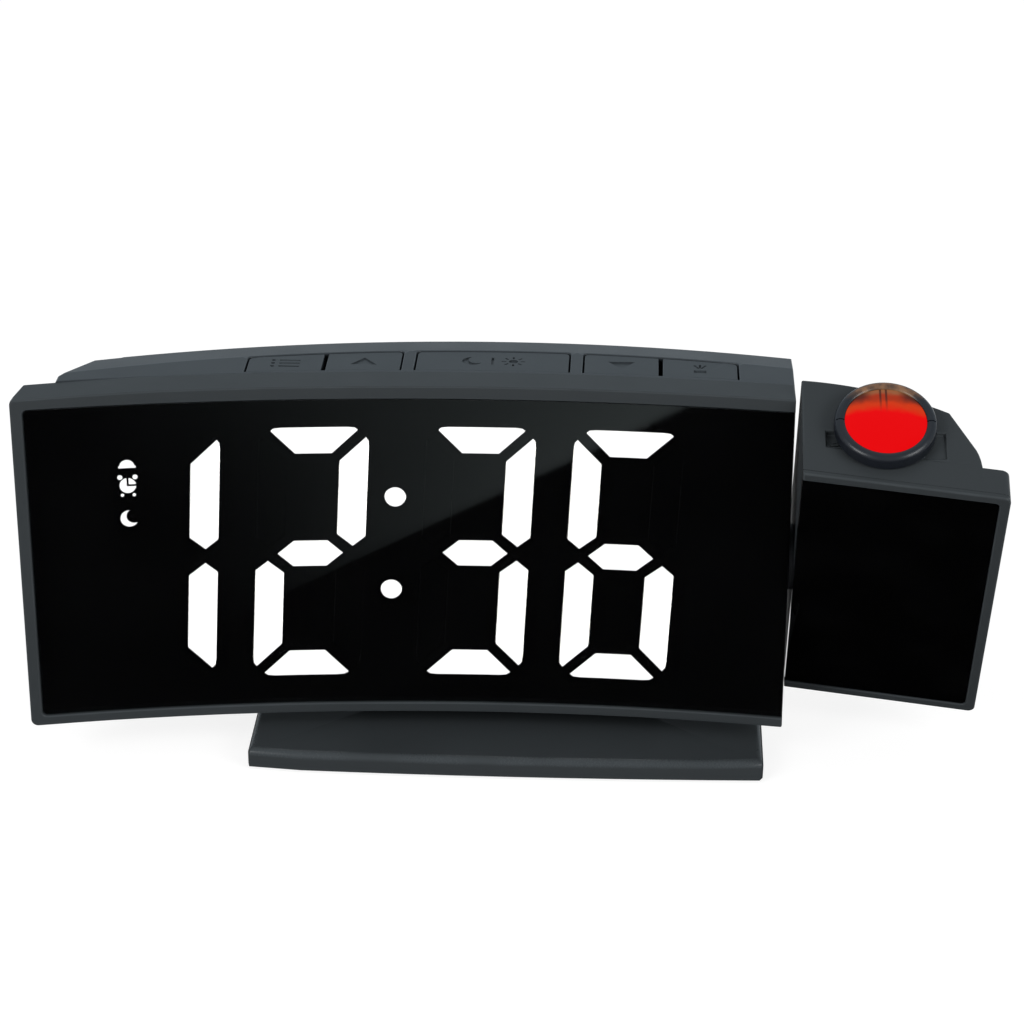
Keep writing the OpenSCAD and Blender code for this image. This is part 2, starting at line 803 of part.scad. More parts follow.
module front_bezel() {
    color(CASING) difference() {
        intersection() {
            curved_plate(left_x, cut_x, 0, bezel_d, body_lift, top_z);
            crown();
            rounded_end(left_x, cut_x + far, body_lift, top_z - top_crown / 2, corner_r);
            slanted_end(left_x, cut_x + far, face_at(left_x) + bezel_land, bezel_draft,
                        body_lift, top_z);
        }
        // Seat of the window and its mask
        intersection() {
            curved_plate(left_x, cut_x + 1, -1, seat_d, body_lift, top_z);
            window_outline(seat_clear);
        }
        // Opening behind the mask, with the screw posts left standing
        difference() {
            union() {
                curved_plate(pane_x + ledge_w, cut_x + 1, seat_d - 1, bezel_d - wall,
                             pane_z0 + ledge_w, pane_z1 - ledge_w);
                curved_plate(left_x + housing_inset + 1, cut_x + 1, seat_d - 1, bezel_d + 1,
                             pane_z0 + ledge_w, pane_z1 - ledge_w);
            }
            for (x = post_x, z = post_z) webbed_post(x, z, display_z, pane_z0, pane_z1);
        }
        for (x = post_x, z = post_z)
            y_rod(x, z, face_at(x) + seat_d + 1.2, far, screw_r + screw_clear);
    }
}

module display_window() {
    color(GLOSS) intersection() {
        curved_plate(pane_x, cut_x, window_set, window_set + window_t, pane_z0, pane_z1);
        window_outline(0);
    }
}

module display_mask() {
    color(BLACK) difference() {
        intersection() {
            curved_plate(pane_x, cut_x, window_set + window_t, seat_d, pane_z0, pane_z1);
            window_outline(0);
        }
        upright(-far, far) segments_flat(0, true, true);
        upright(-far, far) symbols_flat(0);
    }
}

// A plate as deep as a segment lens, from the window's back
module lens_layer() {
    curved_plate(left_x, cut_x, window_set + window_t, window_set + window_t + lens_plate_t,
                 pane_z0, pane_z1);
}

module lit_segments() {
    color(WHITE) intersection() {
        lens_layer();
        upright(-far, far) segments_flat(lens_margin, true, false);
    }
}

module dark_segments() {
    color(BLACK) intersection() {
        lens_layer();
        upright(-far, far) segments_flat(lens_margin, false, true);
    }
}

module symbol_lenses() {
    color(WHITE) intersection() {
        lens_layer();
        upright(-far, far) symbols_flat(lens_margin / 2);
    }
}

// Outline of the display module: the digits' block and the symbols' wing
module module_block(y0, y1) {
    slab(module_x0, module_x1, y0, y1, module_z0, module_z1);
    slab(wing_x, module_x0 + 1, y0, y1, wing_z0, wing_z1);
}

module reflector_block() {
    color(WHITE) difference() {
        intersection() {
            curved_plate(left_x, cut_x, seat_d, far / 2, module_z0, module_z1);
            module_block(-far / 2, module_y);
        }
        intersection() {
            curved_plate(left_x, cut_x, 0, window_set + window_t + lens_plate_t + eps,
                         module_z0, module_z1);
            upright(-far, far) segments_flat(0, true, true);
        }
        upright(-far, far) segments_flat(well_margin, true, true);
        for (p = SYMBOLS)
            slab(symbol_x - 0.5 * symbol_w, symbol_x + 0.5 * symbol_w, -far, far,
                 digits_top - p[0] - p[1] * symbol_w, digits_top - p[0] + p[1] * symbol_w);
    }
}

module display_board() {
    color(BOARD) module_block(module_y, module_y + board_t);
}

function mean(points) = [for (axis = [0, 1])
    [for (p = points) p[axis]] * [for (p = points) 1] / len(points)];

module display_leds() {
    spots = concat(
        [for (d = [0:3], i = HAS[d])
            [digit_places[d], display_z] + mean(lean(segment(i, 0)))],
        colon_spots,
        [for (p = SYMBOLS) [symbol_x, digits_top - p[0]]]
    );
    color(WHITE) for (p = spots)
        slab(p[0] - led_w / 2, p[0] + led_w / 2, module_y - led_t, module_y,
             p[1] - led_w / 2, p[1] + led_w / 2);
}

module main_board() {
    color(BOARD) difference() {
        slab(main_x0, main_x1, main_y, main_y + board_t, main_z0, main_z1);
        for (p = pillar_places)
            y_rod(p[0], p[1], main_y - 1, main_back + 1, pillar_screw_r + screw_clear);
    }
}

module board_screws() {
    color(STEEL) for (p = pillar_places)
        difference() {
            union() {
                y_rod(p[0], p[1], main_y - 1, main_y, 1.9);
                y_rod(p[0], p[1], main_y - eps, main_back + pillar_screw_l, pillar_screw_r);
            }
            translate([p[0], main_y - 1, p[1]]) cube([2.6, 0.8, 0.5], center = true);
        }
}

module main_chip() {
    color(BLACK) {
        slab(chip_x, chip_x + chip_w, main_back, main_back + chip_t, chip_z, chip_z + chip_w);
        slab(driver_x, driver_x + driver_w, main_back, main_back + driver_t,
             driver_z, driver_z + driver_h);
    }
}

// Capacitors, the quartz crystal and the regulator on the main board's back
module board_parts() {
    color(STEEL) {
        for (i = [0, 1])
            y_rod(capacitor_x + i * capacitor_pitch, capacitor_z, main_back,
                  main_back + capacitor_h, capacitor_r);
        y_rod(crystal_x, crystal_z, main_back, main_back + crystal_h, crystal_r);
        slab(regulator_x, regulator_x + regulator_w, main_back, main_back + regulator_t,
             chip_z + chip_w - regulator_h, chip_z + chip_w);
    }
}

module board_header() {
    color(BLACK) slab(-header_w / 2, header_w / 2, module_y + board_t, main_y,
                      header_z, header_z + header_h);
}

// The space under the housing's flat top and its sloping strip
module strip_space() {
    run = 3;
    slab(-far * 2, far * 2, -far, far, 0, housing_top - run);
    translate([0, back_y - back_r, housing_top - run])
        cylinder(r1 = back_r - strip_w + run * strip_w / strip_drop,
                 r2 = back_r - strip_w, h = run, $fn = drum_fn);
}

// The space above a bevel along the bottom of a round back
module bevel_space(z0, x, y, r) {
    slab(-far * 2, far * 2, -far, far, z0 + bottom_bevel, far * 2);
    translate([x, y - r, z0])
        cylinder(r1 = r - bottom_bevel, r2 = r, h = bottom_bevel, $fn = drum_fn);
}

module housing_solid() {
    intersection() {
        between(bezel_d, 0, left_x, cut_x, housing_bottom, housing_top);
        slanted_end(left_x + housing_inset, cut_x, housing_turn_y, end_slant,
                    housing_bottom, housing_top);
        strip_space();
        bevel_space(housing_bottom, 0, back_y, back_r);
    }
}

module housing_room() {
    intersection() {
        between(bezel_d - 1, wall, left_x, cut_x - wall,
                housing_bottom + wall, housing_top - wall);
        slanted_end(left_x + housing_inset + wall, cut_x, housing_turn_y, end_slant,
                    housing_bottom, housing_top);
        translate([0, 0, -wall]) strip_space();
        translate([0, 0, wall]) bevel_space(housing_bottom, 0, back_y, back_r);
    }
}

module key_bay(x, w) {
    between(key_depth, strip_w, x - w / 2 - key_clear, x + w / 2 + key_clear,
            housing_top - wall - 1, housing_top + 1);
}

module sound_slots() {
    for (i = [0:slot_count - 1]) {
        x = speaker_x + (i - (slot_count - 1) / 2) * slot_pitch;
        slab(x - slot_w / 2, x + slot_w / 2, speaker_y1 - 0.5, far,
             speaker_z - slot_l / 2, speaker_z + slot_l / 2);
    }
}

module battery_bore() {
    y_rod(0, cap_z, cap_y0 - 0.1, far, cap_r + piece_gap);
    y_rod(0, cap_z, lug_y0 - 0.2, lug_y0 + lug_t + 0.2, lug_r + piece_gap);
    translate([0, 0, cap_z]) rotate([0, 45, 0])
        slab(-lug_r - piece_gap, lug_r + piece_gap, lug_y0, far, -3, 3);
    y_rod(0, cap_z, contact_y, far, cell_r + piece_gap);
    for (x = [-contact_x, contact_x]) y_rod(x, cap_z, cup_y - 1, far, 0.6);
}

module rear_housing() {
    color(CASING_REAR) difference() {
        union() {
            difference() {
                housing_solid();
                housing_room();
                for (i = [-1:1]) key_bay(key_x + i * bay_pitch, bay_w);
            }
            // End wall inside the bezel, up to the mask, with the bush's boss
            intersection() {
                between(seat_d + 0.1, 1, 0, cut_x, pane_z0 + ledge_w + seat_clear,
                        pane_z1 - ledge_w - seat_clear);
                union() {
                    slab(cut_x - wall, cut_x, -far, far, 0, far * 2);
                    x_rod(0, swivel_z, bush_x, cut_x, bush_r + 1.2);
                }
            }
            intersection() {
                housing_solid();
                union() {
                    for (x = post_x, z = post_z)
                        webbed_post(x, z, display_z, housing_bottom, housing_top);
                    for (p = pillar_places)
                        y_rod(p[0], p[1], main_back, far, pillar_r);
                    for (s = [-1, 1])
                        z_rod(s * stand_screw_pitch / 2, stand_screw_y, housing_bottom,
                              stand_screw_top + 1, stand_post_r);
                    y_rod(0, cap_z, cap_y0 - 0.8, far, cap_ring_r);
                    y_rod(0, cap_z, cup_y, far, cup_r);
                    y_rod(speaker_x, speaker_z, speaker_y + 0.4, far, speaker_r + speaker_rim);
                    // Shelf under the key board
                    slab(mode_x - shelf_side, projector_x + shelf_side,
                         plunger_y(mode_x) + switch_w / 2, far,
                         key_board_z - shelf_t, key_board_z);
                }
            }
        }
        for (x = post_x, z = post_z) {
            y_rod(x, z, -far / 2, far, screw_r + screw_clear);
            y_rod(x, z, back_at(x) - screw_sink, far, screw_head_r + 0.2);
        }
        for (p = pillar_places)
            y_rod(p[0], p[1], main_y, main_back + pillar_screw_l + 0.5,
                  pillar_screw_r + screw_clear);
        for (s = [-1, 1])
            z_rod(s * stand_screw_pitch / 2, stand_screw_y, 0, stand_screw_top,
                  screw_r + screw_clear);
        battery_bore();
        y_rod(speaker_x, speaker_z, speaker_y - 1, speaker_y1, speaker_r + 0.1);
        sound_slots();
        y_rod(jack_x, jack_z, jack_y0, far, jack_hole_r + 0.8);
        x_rod(0, swivel_z, bush_x - 1, cut_x + 1, bush_r + screw_clear);
    }
}

module housing_screws() {
    color(STEEL) for (x = post_x, z = post_z)
        y_screw(x, z, back_at(x) - screw_sink, face_at(x) + seat_d + 2.2, screw_r,
                screw_head_r, screw_head_h);
}

module key_board() {
    color(BOARD) intersection() {
        slab(mode_x - key_board_side, projector_x + key_board_side,
             module_y + board_t + 0.5, back_y, key_board_z, switch_z);
        back_drum(wall + 0.4, key_board_z, switch_z);
    }
}

module key_switches() {
    color(BLACK) for (x = key_places)
        difference() {
            slab(x - switch_w / 2, x + switch_w / 2, plunger_y(x) - switch_w / 2,
                 plunger_y(x) + switch_w / 2, switch_z, switch_top);
            z_rod(x, plunger_y(x), switch_top - switch_hole_d, switch_top + 1,
                  plunger_r + 0.1);
        }
}

module speaker() {
    color(BLACK) {
        y_rod(speaker_x, speaker_z, speaker_y, speaker_y1, speaker_r);
        y_rod(speaker_x, speaker_z, magnet_y, speaker_y + eps, speaker_r * 0.55);
    }
}

module battery_contacts() {
    color(BRASS) {
        y_rod(0, cap_z, contact_y, contact_y + 0.3, contact_r);
        y_rod(0, cap_z, contact_y, cell_y0, 2);
        for (x = [-contact_x, contact_x])
            y_rod(x, cap_z, main_back, contact_y + eps, 0.5);
    }
}

module coin_cell() {
    color(STEEL) {
        y_rod(0, cap_z, cell_y0 + 0.4, cell_y1, cell_r);
        y_rod(0, cap_z, cell_y0, cell_y0 + 0.4 + eps, cell_r - 1.2);
    }
}

module dc_jack() {
    color(BLACK) difference() {
        slab(jack_x - jack_w / 2, jack_x + jack_w / 2, jack_y0, jack_y1,
             jack_z - jack_w / 2, jack_z + jack_w / 2);
        difference() {
            y_rod(jack_x, jack_z, jack_y0 + jack_bottom, far, jack_hole_r);
            y_rod(jack_x, jack_z, jack_y0, jack_y1 - 0.8, jack_pin_r);
        }
    }
}

module cable_connector() {
    color(WHITE) slab(main_x1 - 0.2 - plug_w, main_x1 - 0.2, plug_y, main_y,
                      swivel_z - plug_h / 2, swivel_z + plug_h / 2);
}

module swivel_bush() {
    color(BRASS) difference() {
        x_rod(0, swivel_z, bush_x, cut_x, bush_r);
        x_rod(0, swivel_z, bush_x - 1, cut_x + 1, shaft_r + running_clear);
    }
}

module stand_base() {
    color(CASING) difference() {
        union() {
            intersection() {
                rounded_slab(-stand_w / 2, stand_w / 2, -stand_front - stand_bow, stand_back,
                             stand_bottom, stand_h, stand_corner_r);
                translate([0, stand_bow_r - stand_front - stand_bow, stand_bottom])
                    cylinder(r = stand_bow_r, h = stand_h, $fn = bow_fn);
            }
            rounded_slab(-neck_w / 2, neck_w / 2, neck_y0, neck_y1, stand_h - 1,
                         housing_bottom, 2);
        }
        for (x = [-foot_x, foot_x], y = foot_y)
            z_rod(x, y, 0, stand_bottom + foot_seat, foot_r + seat_clear);
        for (s = [-1, 1]) {
            z_rod(s * stand_screw_pitch / 2, stand_screw_y, 0, far, screw_r + screw_clear);
            z_rod(s * stand_screw_pitch / 2, stand_screw_y, 0, stand_bottom + stand_head_h + 0.4,
                  stand_head_r + 0.2);
        }
    }
}

module stand_screws() {
    color(STEEL) for (s = [-1, 1]) {
        z = stand_bottom + 0.4;
        x = s * stand_screw_pitch / 2;
        difference() {
            union() {
                z_rod(x, stand_screw_y, z, z + stand_head_h, stand_head_r);
                z_rod(x, stand_screw_y, z + stand_head_h - eps, stand_screw_top - 1, screw_r);
            }
            for (a = [0, 90])
                translate([x, stand_screw_y, z]) rotate([0, 0, a])
                    cube([stand_head_r * 1.2, 0.7, stand_head_h], center = true);
        }
    }
}

module rubber_feet() {
    color(RUBBER) for (x = [-foot_x, foot_x], y = foot_y)
        z_rod(x, y, 0, stand_bottom + foot_seat, foot_r);
}

module battery_cap() {
    color(CASING_REAR) difference() {
        union() {
            y_rod(0, cap_z, cap_y0, cap_y1, cap_r);
            intersection() {
                slab(-lug_r, lug_r, lug_y0, lug_y0 + lug_t, cap_z - 2.4, cap_z + 2.4);
                y_rod(0, cap_z, lug_y0, lug_y0 + lug_t, lug_r);
            }
        }
        slab(-8.5, 8.5, cap_y1 - 1, cap_y1 + 1, cap_z - 0.8, cap_z + 0.8);
    }
}

// ---------------------------------------------------------------- keys

module key_blank(x, w) {
    between(key_depth + key_clear, strip_w + key_clear, x - w / 2, x + w / 2,
            flange_z, key_top);
    between(key_depth + key_clear - flange_w, strip_w + key_clear - flange_w,
            x - w / 2, x + w / 2, flange_z, flange_top);
    z_rod(x, plunger_y(x), switch_top - plunger_dip, flange_z + eps, plunger_r);
}

// Cuts its flat outline into a key's top at x
module key_cut(x) {
    translate([x, key_mid(x), key_top - engrave_d]) linear_extrude(height = 1) children();
}

module mode_button() {
    color(KEY) difference() {
        key_blank(mode_x, key_w);
        key_cut(mode_x) {
            for (i = [-1:1]) translate([-1.2, i * 1.5 - 0.3]) square([4, 0.6]);
            for (i = [-1:1]) translate([-2.4, i * 1.5]) circle(r = 0.4, $fn = 16);
        }
    }
}

module up_button() {
    color(KEY) difference() {
        key_blank(up_x, key_w);
        key_cut(up_x) polygon([[-2.6, -1.6], [2.6, -1.6], [0, 1.9]]);
    }
}

module snooze_button() {
    color(KEY) difference() {
        key_blank(key_x, bay_w);
        key_cut(key_x) {
            translate([-4, 0]) difference() {
                circle(r = 2, $fn = 32);
                translate([0.9, 0.6]) circle(r = 1.7, $fn = 32);
            }
            translate([4, 0]) {
                circle(r = 0.9, $fn = 24);
                for (a = [0:45:315]) rotate(a) translate([1.4, -0.2]) square([0.9, 0.4]);
            }
            translate([-0.3, -1.8]) square([0.5, 3.6]);
        }
    }
}

module down_button() {
    color(KEY) difference() {
        key_blank(down_x, key_w);
        key_cut(down_x) polygon([[-2.6, 1.6], [2.6, 1.6], [0, -1.9]]);
    }
}

module projector_button() {
    color(KEY) difference() {
        key_blank(projector_x, key_w);
        key_cut(projector_x) {
            translate([-1.2, -1.9]) square([2.4, 1.3]);
            for (a = [60, 90, 120]) rotate(a) translate([0.4, -0.2]) square([1.9, 0.4]);
        }
    }
}

// ---------------------------------------------------------------- projector head

module head_frame() {
    color(CASING) head_pose() difference() {
        intersection() {
            head_plate(head_x, right_x, 0, frame_d, head_z0, head_top);
            rounded_end(right_x, head_x - far, head_z0, head_top, corner_r);
        }
        // Seat of the panel
        intersection() {
            head_plate(head_x - 1, right_x, -1, panel_d, head_z0, head_top);
            rounded_end(panel_x + seat_clear, head_x - far, panel_z0 - seat_clear,
                        panel_z1 + seat_clear, pane_r);
        }
        // Opening behind the panel, with the screw posts left standing
        difference() {
            head_plate(head_x - 1, panel_x - ledge_w, panel_d - 1, frame_d + 1,
                       panel_z0 + ledge_w, panel_z1 - ledge_w);
            for (x = head_post_x, z = head_post_z)
                webbed_post(x, z, swivel_z, panel_z0, panel_z1);
        }
        for (x = head_post_x, z = head_post_z)
            y_rod(x, z, head_face_at(x) + panel_d + 1.2, far, screw_r + screw_clear);
        z_rod(lens_x, lens_y, tube_z, head_top + 1, tube_r + seat_clear);
    }
}

module head_panel() {
    color(GLOSS) head_pose() intersection() {
        head_plate(head_x, panel_x, panel_set, panel_d, panel_z0, panel_z1);
        rounded_end(panel_x, head_x - far, panel_z0, panel_z1, pane_r);
    }
}

module shell_solid(inset) {
    intersection() {
        slab(head_x + inset, right_x, -far, far, head_z0 + shell_lift + inset,
             head_top - inset);
        slanted_end(right_x - head_inset - inset, head_x - far, head_turn_y, head_slant,
                    head_z0, head_top);
        translate([head_back_x, head_back - head_back_r, head_z0])
            cylinder(r = head_back_r - inset, h = head_top - head_z0, $fn = drum_fn);
        translate([0, 0, inset])
            bevel_space(head_z0 + shell_lift, head_back_x, head_back, head_back_r);
    }
}

module head_shell() {
    color(CASING) head_pose() difference() {
        union() {
            difference() {
                intersection() {
                    shell_solid(0);
                    head_plate(head_x, right_x, frame_d, far, head_z0, head_top);
                }
                shell_solid(wall);
            }
            // Left wall inside the frame, up to the panel
            head_plate(head_x, head_x + wall, panel_d + 0.1, frame_d + wall,
                       panel_z0 + ledge_w + seat_clear, panel_z1 - ledge_w - seat_clear);
            intersection() {
                shell_solid(0);
                head_plate(head_x, right_x, frame_d, far, head_z0, head_top);
                union() {
                    for (x = head_post_x, z = head_post_z)
                        webbed_post(x, z, swivel_z, head_z0, head_top);
                    // Shelf under the projector's board
                    slab(lens_x - shelf_side, lens_x + shelf_side, led_shelf_y, far,
                         led_board_z - shelf_t, led_board_z);
                }
            }
        }
        for (x = head_post_x, z = head_post_z) {
            y_rod(x, z, -far, far, screw_r + screw_clear);
            y_rod(x, z, head_back_at(x) - screw_sink, far, screw_head_r + 0.2);
        }
        z_rod(lens_x, lens_y, optics_z, head_top + 1, tube_r + screw_clear);
        slab(lens_x - recess_left, lens_x - tube_r, lens_y - 4, lens_y - 0.4,
             head_top - recess_d, head_top + 1);
        slab(lens_x + tube_r, lens_x + recess_right, lens_y - 6.6, lens_y - 0.6,
             head_top - recess_d, head_top + 1);
        x_rod(0, swivel_z, head_x - 1, head_x + wall + 1, shaft_r + screw_clear);
    }
}

module head_screws() {
    color(STEEL) head_pose() for (x = head_post_x, z = head_post_z)
        y_screw(x, z, head_back_at(x) - screw_sink, head_face_at(x) + panel_d + 2.2, screw_r,
                screw_head_r, screw_head_h);
}

module swivel_shaft() {
    color(STEEL) difference() {
        union() {
            x_rod(0, swivel_z, shaft_end_x, head_x + wall, shaft_r);
            x_rod(0, swivel_z, head_x + wall, head_x + wall + shaft_flange_t, shaft_flange_r);
        }
        x_rod(0, swivel_z, shaft_end_x - 1, right_x, shaft_hole_r);
        difference() {
            x_rod(0, swivel_z, clip_x, clip_x + clip_t, shaft_r + 1);
            x_rod(0, swivel_z, clip_x - 1, clip_x + clip_t + 1, shaft_r - groove_d);
        }
    }
}

module swivel_spacer() {
    color(BLACK) difference() {
        x_rod(0, swivel_z, cut_x + 0.1, head_x, spacer_r);
        x_rod(0, swivel_z, cut_x - 1, head_x + 1, shaft_r + screw_clear);
    }
}

module friction_washer() {
    color(BRASS) difference() {
        x_rod(0, swivel_z, washer_x, bush_x - screw_clear, bush_r - 0.1);
        x_rod(0, swivel_z, washer_x - 1, bush_x + 1, shaft_r + screw_clear);
    }
}

module retaining_ring() {
    color(STEEL) difference() {
        x_rod(0, swivel_z, clip_x + 0.05, washer_x, bush_r - 0.2);
        x_rod(0, swivel_z, clip_x - 1, washer_x + 1, shaft_r - groove_d + screw_clear);
        slab(clip_x - 1, washer_x + 1, -0.9, 0.9, swivel_z + shaft_r - 1, swivel_z + far);
    }
}

module projector_cable() {
    color(BLACK) head_pose() {
        x_rod(0, swivel_z, main_x1 + 0.1, cable_x, cable_r);
        translate([cable_x, 0, swivel_z]) sphere(r = cable_r);
        z_rod(cable_x, 0, led_board_z - 0.6, swivel_z, cable_r);
        slab(cable_x - 0.6, lens_x - led_board_w / 2, -1, 1, led_board_z - 0.4,
             led_board_z + 1.2);
    }
}

module projector_board() {
    color(BOARD) head_pose() slab(lens_x - led_board_w / 2, lens_x + led_board_w / 2,
                                  led_board_y0, led_board_y1, led_board_z, optics_z);
}

module projector_led() {
    color(RED) head_pose() {
        z_rod(lens_x, lens_y, optics_z, optics_z + 1, led_r + 0.4);
        z_rod(lens_x, lens_y, optics_z, optics_z + led_h, led_r);
        translate([lens_x, lens_y, optics_z + led_h]) sphere(r = led_r);
    }
}

module optics_housing() {
    color(BLACK) head_pose() difference() {
        z_rod(lens_x, lens_y, optics_z, tube_z, optics_r);
        z_rod(lens_x, lens_y, optics_z - 1, condenser_z - 1, optics_hole_r);
        z_rod(lens_x, lens_y, condenser_z, lcd_z - 1, optics_hole_r);
        z_rod(lens_x, lens_y, lcd_z, tube_z + 1, optics_hole_r);
        z_rod(lens_x, lens_y, optics_z - 1, tube_z + 1, stop_r);
    }
}

module condenser_lens() {
    color(WHITE) head_pose() {
        z_rod(lens_x, lens_y, condenser_z, condenser_z + condenser_t, optics_hole_r - 0.1);
        dome(condenser_z + condenser_t, optics_hole_r - 0.6, 2);
    }
}

module lcd_slide() {
    color(GLOSS) head_pose()
        slab(lens_x - slide_w / 2, lens_x + slide_w / 2, lens_y - slide_w / 2,
             lens_y + slide_w / 2, lcd_z, lcd_z + slide_t);
}

module lens_tube() {
    color(BLACK) head_pose() difference() {
        z_rod(lens_x, lens_y, tube_z, tube_top, tube_r);
        z_rod(lens_x, lens_y, tube_z - 1, tube_top + 1, tube_hole_r);
    }
}

// A low dome of radius r and height h, standing on z
module dome(z, r, h) {
    ball_r = (r * r + h * h) / (2 * h);
    intersection() {
        z_rod(lens_x, lens_y, z - eps, z + h + 1, r);
        translate([lens_x, lens_y, z + h - ball_r]) sphere(r = ball_r, $fn = 360);
    }
}

module focus_ring() {
    color(BLACK) head_pose() difference() {
        z_rod(lens_x, lens_y, ring_z, ring_z + ring_h, ring_r);
        z_rod(lens_x, lens_y, ring_z - 1, ring_step_z, tube_r + running_clear);
        z_rod(lens_x, lens_y, ring_step_z, ring_z + ring_h + 1, ring_hole_r);
        slab(lens_x - ring_r - 1, lens_x + ring_r + 1, lens_y - 0.15, lens_y + 0.15,
             ring_z + ring_h - 0.3, ring_z + ring_h + 1);
    }
}

module lens_cell() {
    color(BLACK) head_pose() difference() {
        union() {
            z_rod(lens_x, lens_y, cell_z, rim_z, cell_outer_r);
            z_rod(lens_x, lens_y, rim_z, lens_z, lens_r);
        }
        z_rod(lens_x, lens_y, cell_z - 1, lens_z + 1, cell_inner_r);
    }
}

module projection_lens() {
    color(RED) head_pose() dome(lens_z + eps, lens_r, dome_h);
}

front_bezel();
display_window();
display_mask();
lit_segments();
dark_segments();
symbol_lenses();
reflector_block();
display_board();
display_leds();
main_board();
main_chip();
board_parts();
board_header();
board_screws();
rear_housing();
housing_screws();
key_board();
key_switches();
speaker();
battery_contacts();
coin_cell();
dc_jack();
cable_connector();
swivel_bush();
stand_base();
stand_screws();
rubber_feet();
battery_cap();
mode_button();
up_button();
snooze_button();
down_button();
projector_button();
head_frame();
head_panel();
head_shell();
head_screws();
swivel_shaft();
swivel_spacer();
friction_washer();
retaining_ring();
projector_cable();
projector_board();
projector_led();
optics_housing();
condenser_lens();
lcd_slide();
lens_tube();
focus_ring();
lens_cell();
projection_lens();
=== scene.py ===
"""Looks of a projection alarm clock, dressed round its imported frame."""

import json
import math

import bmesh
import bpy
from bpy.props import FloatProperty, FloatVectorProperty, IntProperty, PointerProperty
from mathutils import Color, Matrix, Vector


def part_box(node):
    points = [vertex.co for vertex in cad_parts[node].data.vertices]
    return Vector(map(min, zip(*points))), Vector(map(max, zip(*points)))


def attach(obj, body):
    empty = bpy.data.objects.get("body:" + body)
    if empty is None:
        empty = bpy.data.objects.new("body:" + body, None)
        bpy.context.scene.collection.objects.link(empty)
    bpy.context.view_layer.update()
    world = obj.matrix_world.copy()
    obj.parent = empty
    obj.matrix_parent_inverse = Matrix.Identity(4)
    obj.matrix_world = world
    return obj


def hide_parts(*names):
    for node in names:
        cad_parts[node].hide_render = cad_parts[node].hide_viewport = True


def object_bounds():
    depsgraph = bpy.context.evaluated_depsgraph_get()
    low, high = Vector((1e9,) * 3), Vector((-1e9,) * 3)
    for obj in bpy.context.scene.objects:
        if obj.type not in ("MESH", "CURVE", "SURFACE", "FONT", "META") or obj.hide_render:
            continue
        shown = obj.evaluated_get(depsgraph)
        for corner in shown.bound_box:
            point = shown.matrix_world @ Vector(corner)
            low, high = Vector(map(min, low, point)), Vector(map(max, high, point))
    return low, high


bl_info = {
    "name": "Projection alarm clock",
    "version": (1, 0, 0),
    "blender": (4, 5, 0),
    "location": "View3D > Sidebar > Alarm Clock",
    "description": "Dresses the clock's casing, display, keys, stand and projector head",
    "category": "Object",
}

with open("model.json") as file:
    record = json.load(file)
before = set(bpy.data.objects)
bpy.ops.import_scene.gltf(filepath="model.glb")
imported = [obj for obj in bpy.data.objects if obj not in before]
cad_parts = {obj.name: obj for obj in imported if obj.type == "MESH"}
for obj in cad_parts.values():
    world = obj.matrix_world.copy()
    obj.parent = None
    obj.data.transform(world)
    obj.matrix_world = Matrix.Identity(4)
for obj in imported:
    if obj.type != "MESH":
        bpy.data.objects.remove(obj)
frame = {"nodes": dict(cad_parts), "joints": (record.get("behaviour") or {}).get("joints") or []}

MM = 0.001
# How near a point counts as on a plane, and two points as one
NEAR, WELD = 0.01 * MM, 0.002 * MM
# Face attribute that marks rounded edges for wear and a painted highlight
WEAR_AND_HIGHLIGHT = "wear_and_highlight"
CAD_LOW, CAD_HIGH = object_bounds()

# Places that the frame gives, in metres
JOINTS = {joint["name"]: joint for joint in frame["joints"]}
SWIVEL = Vector(JOINTS["head_swivel"]["pos_m"])
LENS_AXIS = Vector(JOINTS["lens_focus"]["axis"])
RING_BASE = Vector(JOINTS["focus_turn"]["pos_m"])
HEAD_RIGHT = Vector((1, 0, 0))
HEAD_BACK = LENS_AXIS.cross(HEAD_RIGHT)
STAND_LOW, STAND_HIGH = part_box("stand_base")
HOUSING_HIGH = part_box("rear_housing")[1]
PANE_LOW, PANE_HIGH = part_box("display_window")
FRAME_LOW, FRAME_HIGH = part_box("head_frame")
SHELL_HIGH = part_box("head_shell")[1]

# Sides of each key that end its bay, where its back corner is round
BAY_ENDS = {"mode": (-1,), "up": (1,), "snooze": (-1, 1), "down": (-1,), "projector": (1,)}

# Name, place, side and power of each soft light
LAMPS = (("overhead_light", (-0.1, 0.1, 0.95), 0.9, 0.4),
         ("left_light", (-0.55, -0.6, 0.45), 0.4, 4.2),
         ("right_light", (0.7, -0.5, 0.45), 0.4, 3.8))


# ---- what a user may set

def shade_of(name, what, default):
    """A colour property, written as it looks on screen."""
    return FloatVectorProperty(name=name, description=what, subtype="COLOR_GAMMA", size=3,
                               min=0, max=1, default=default)


def length_of(name, what, default):
    """A length property in metres."""
    return FloatProperty(name=name, description=what, default=default, min=0, precision=5,
                         subtype="DISTANCE", unit="LENGTH")


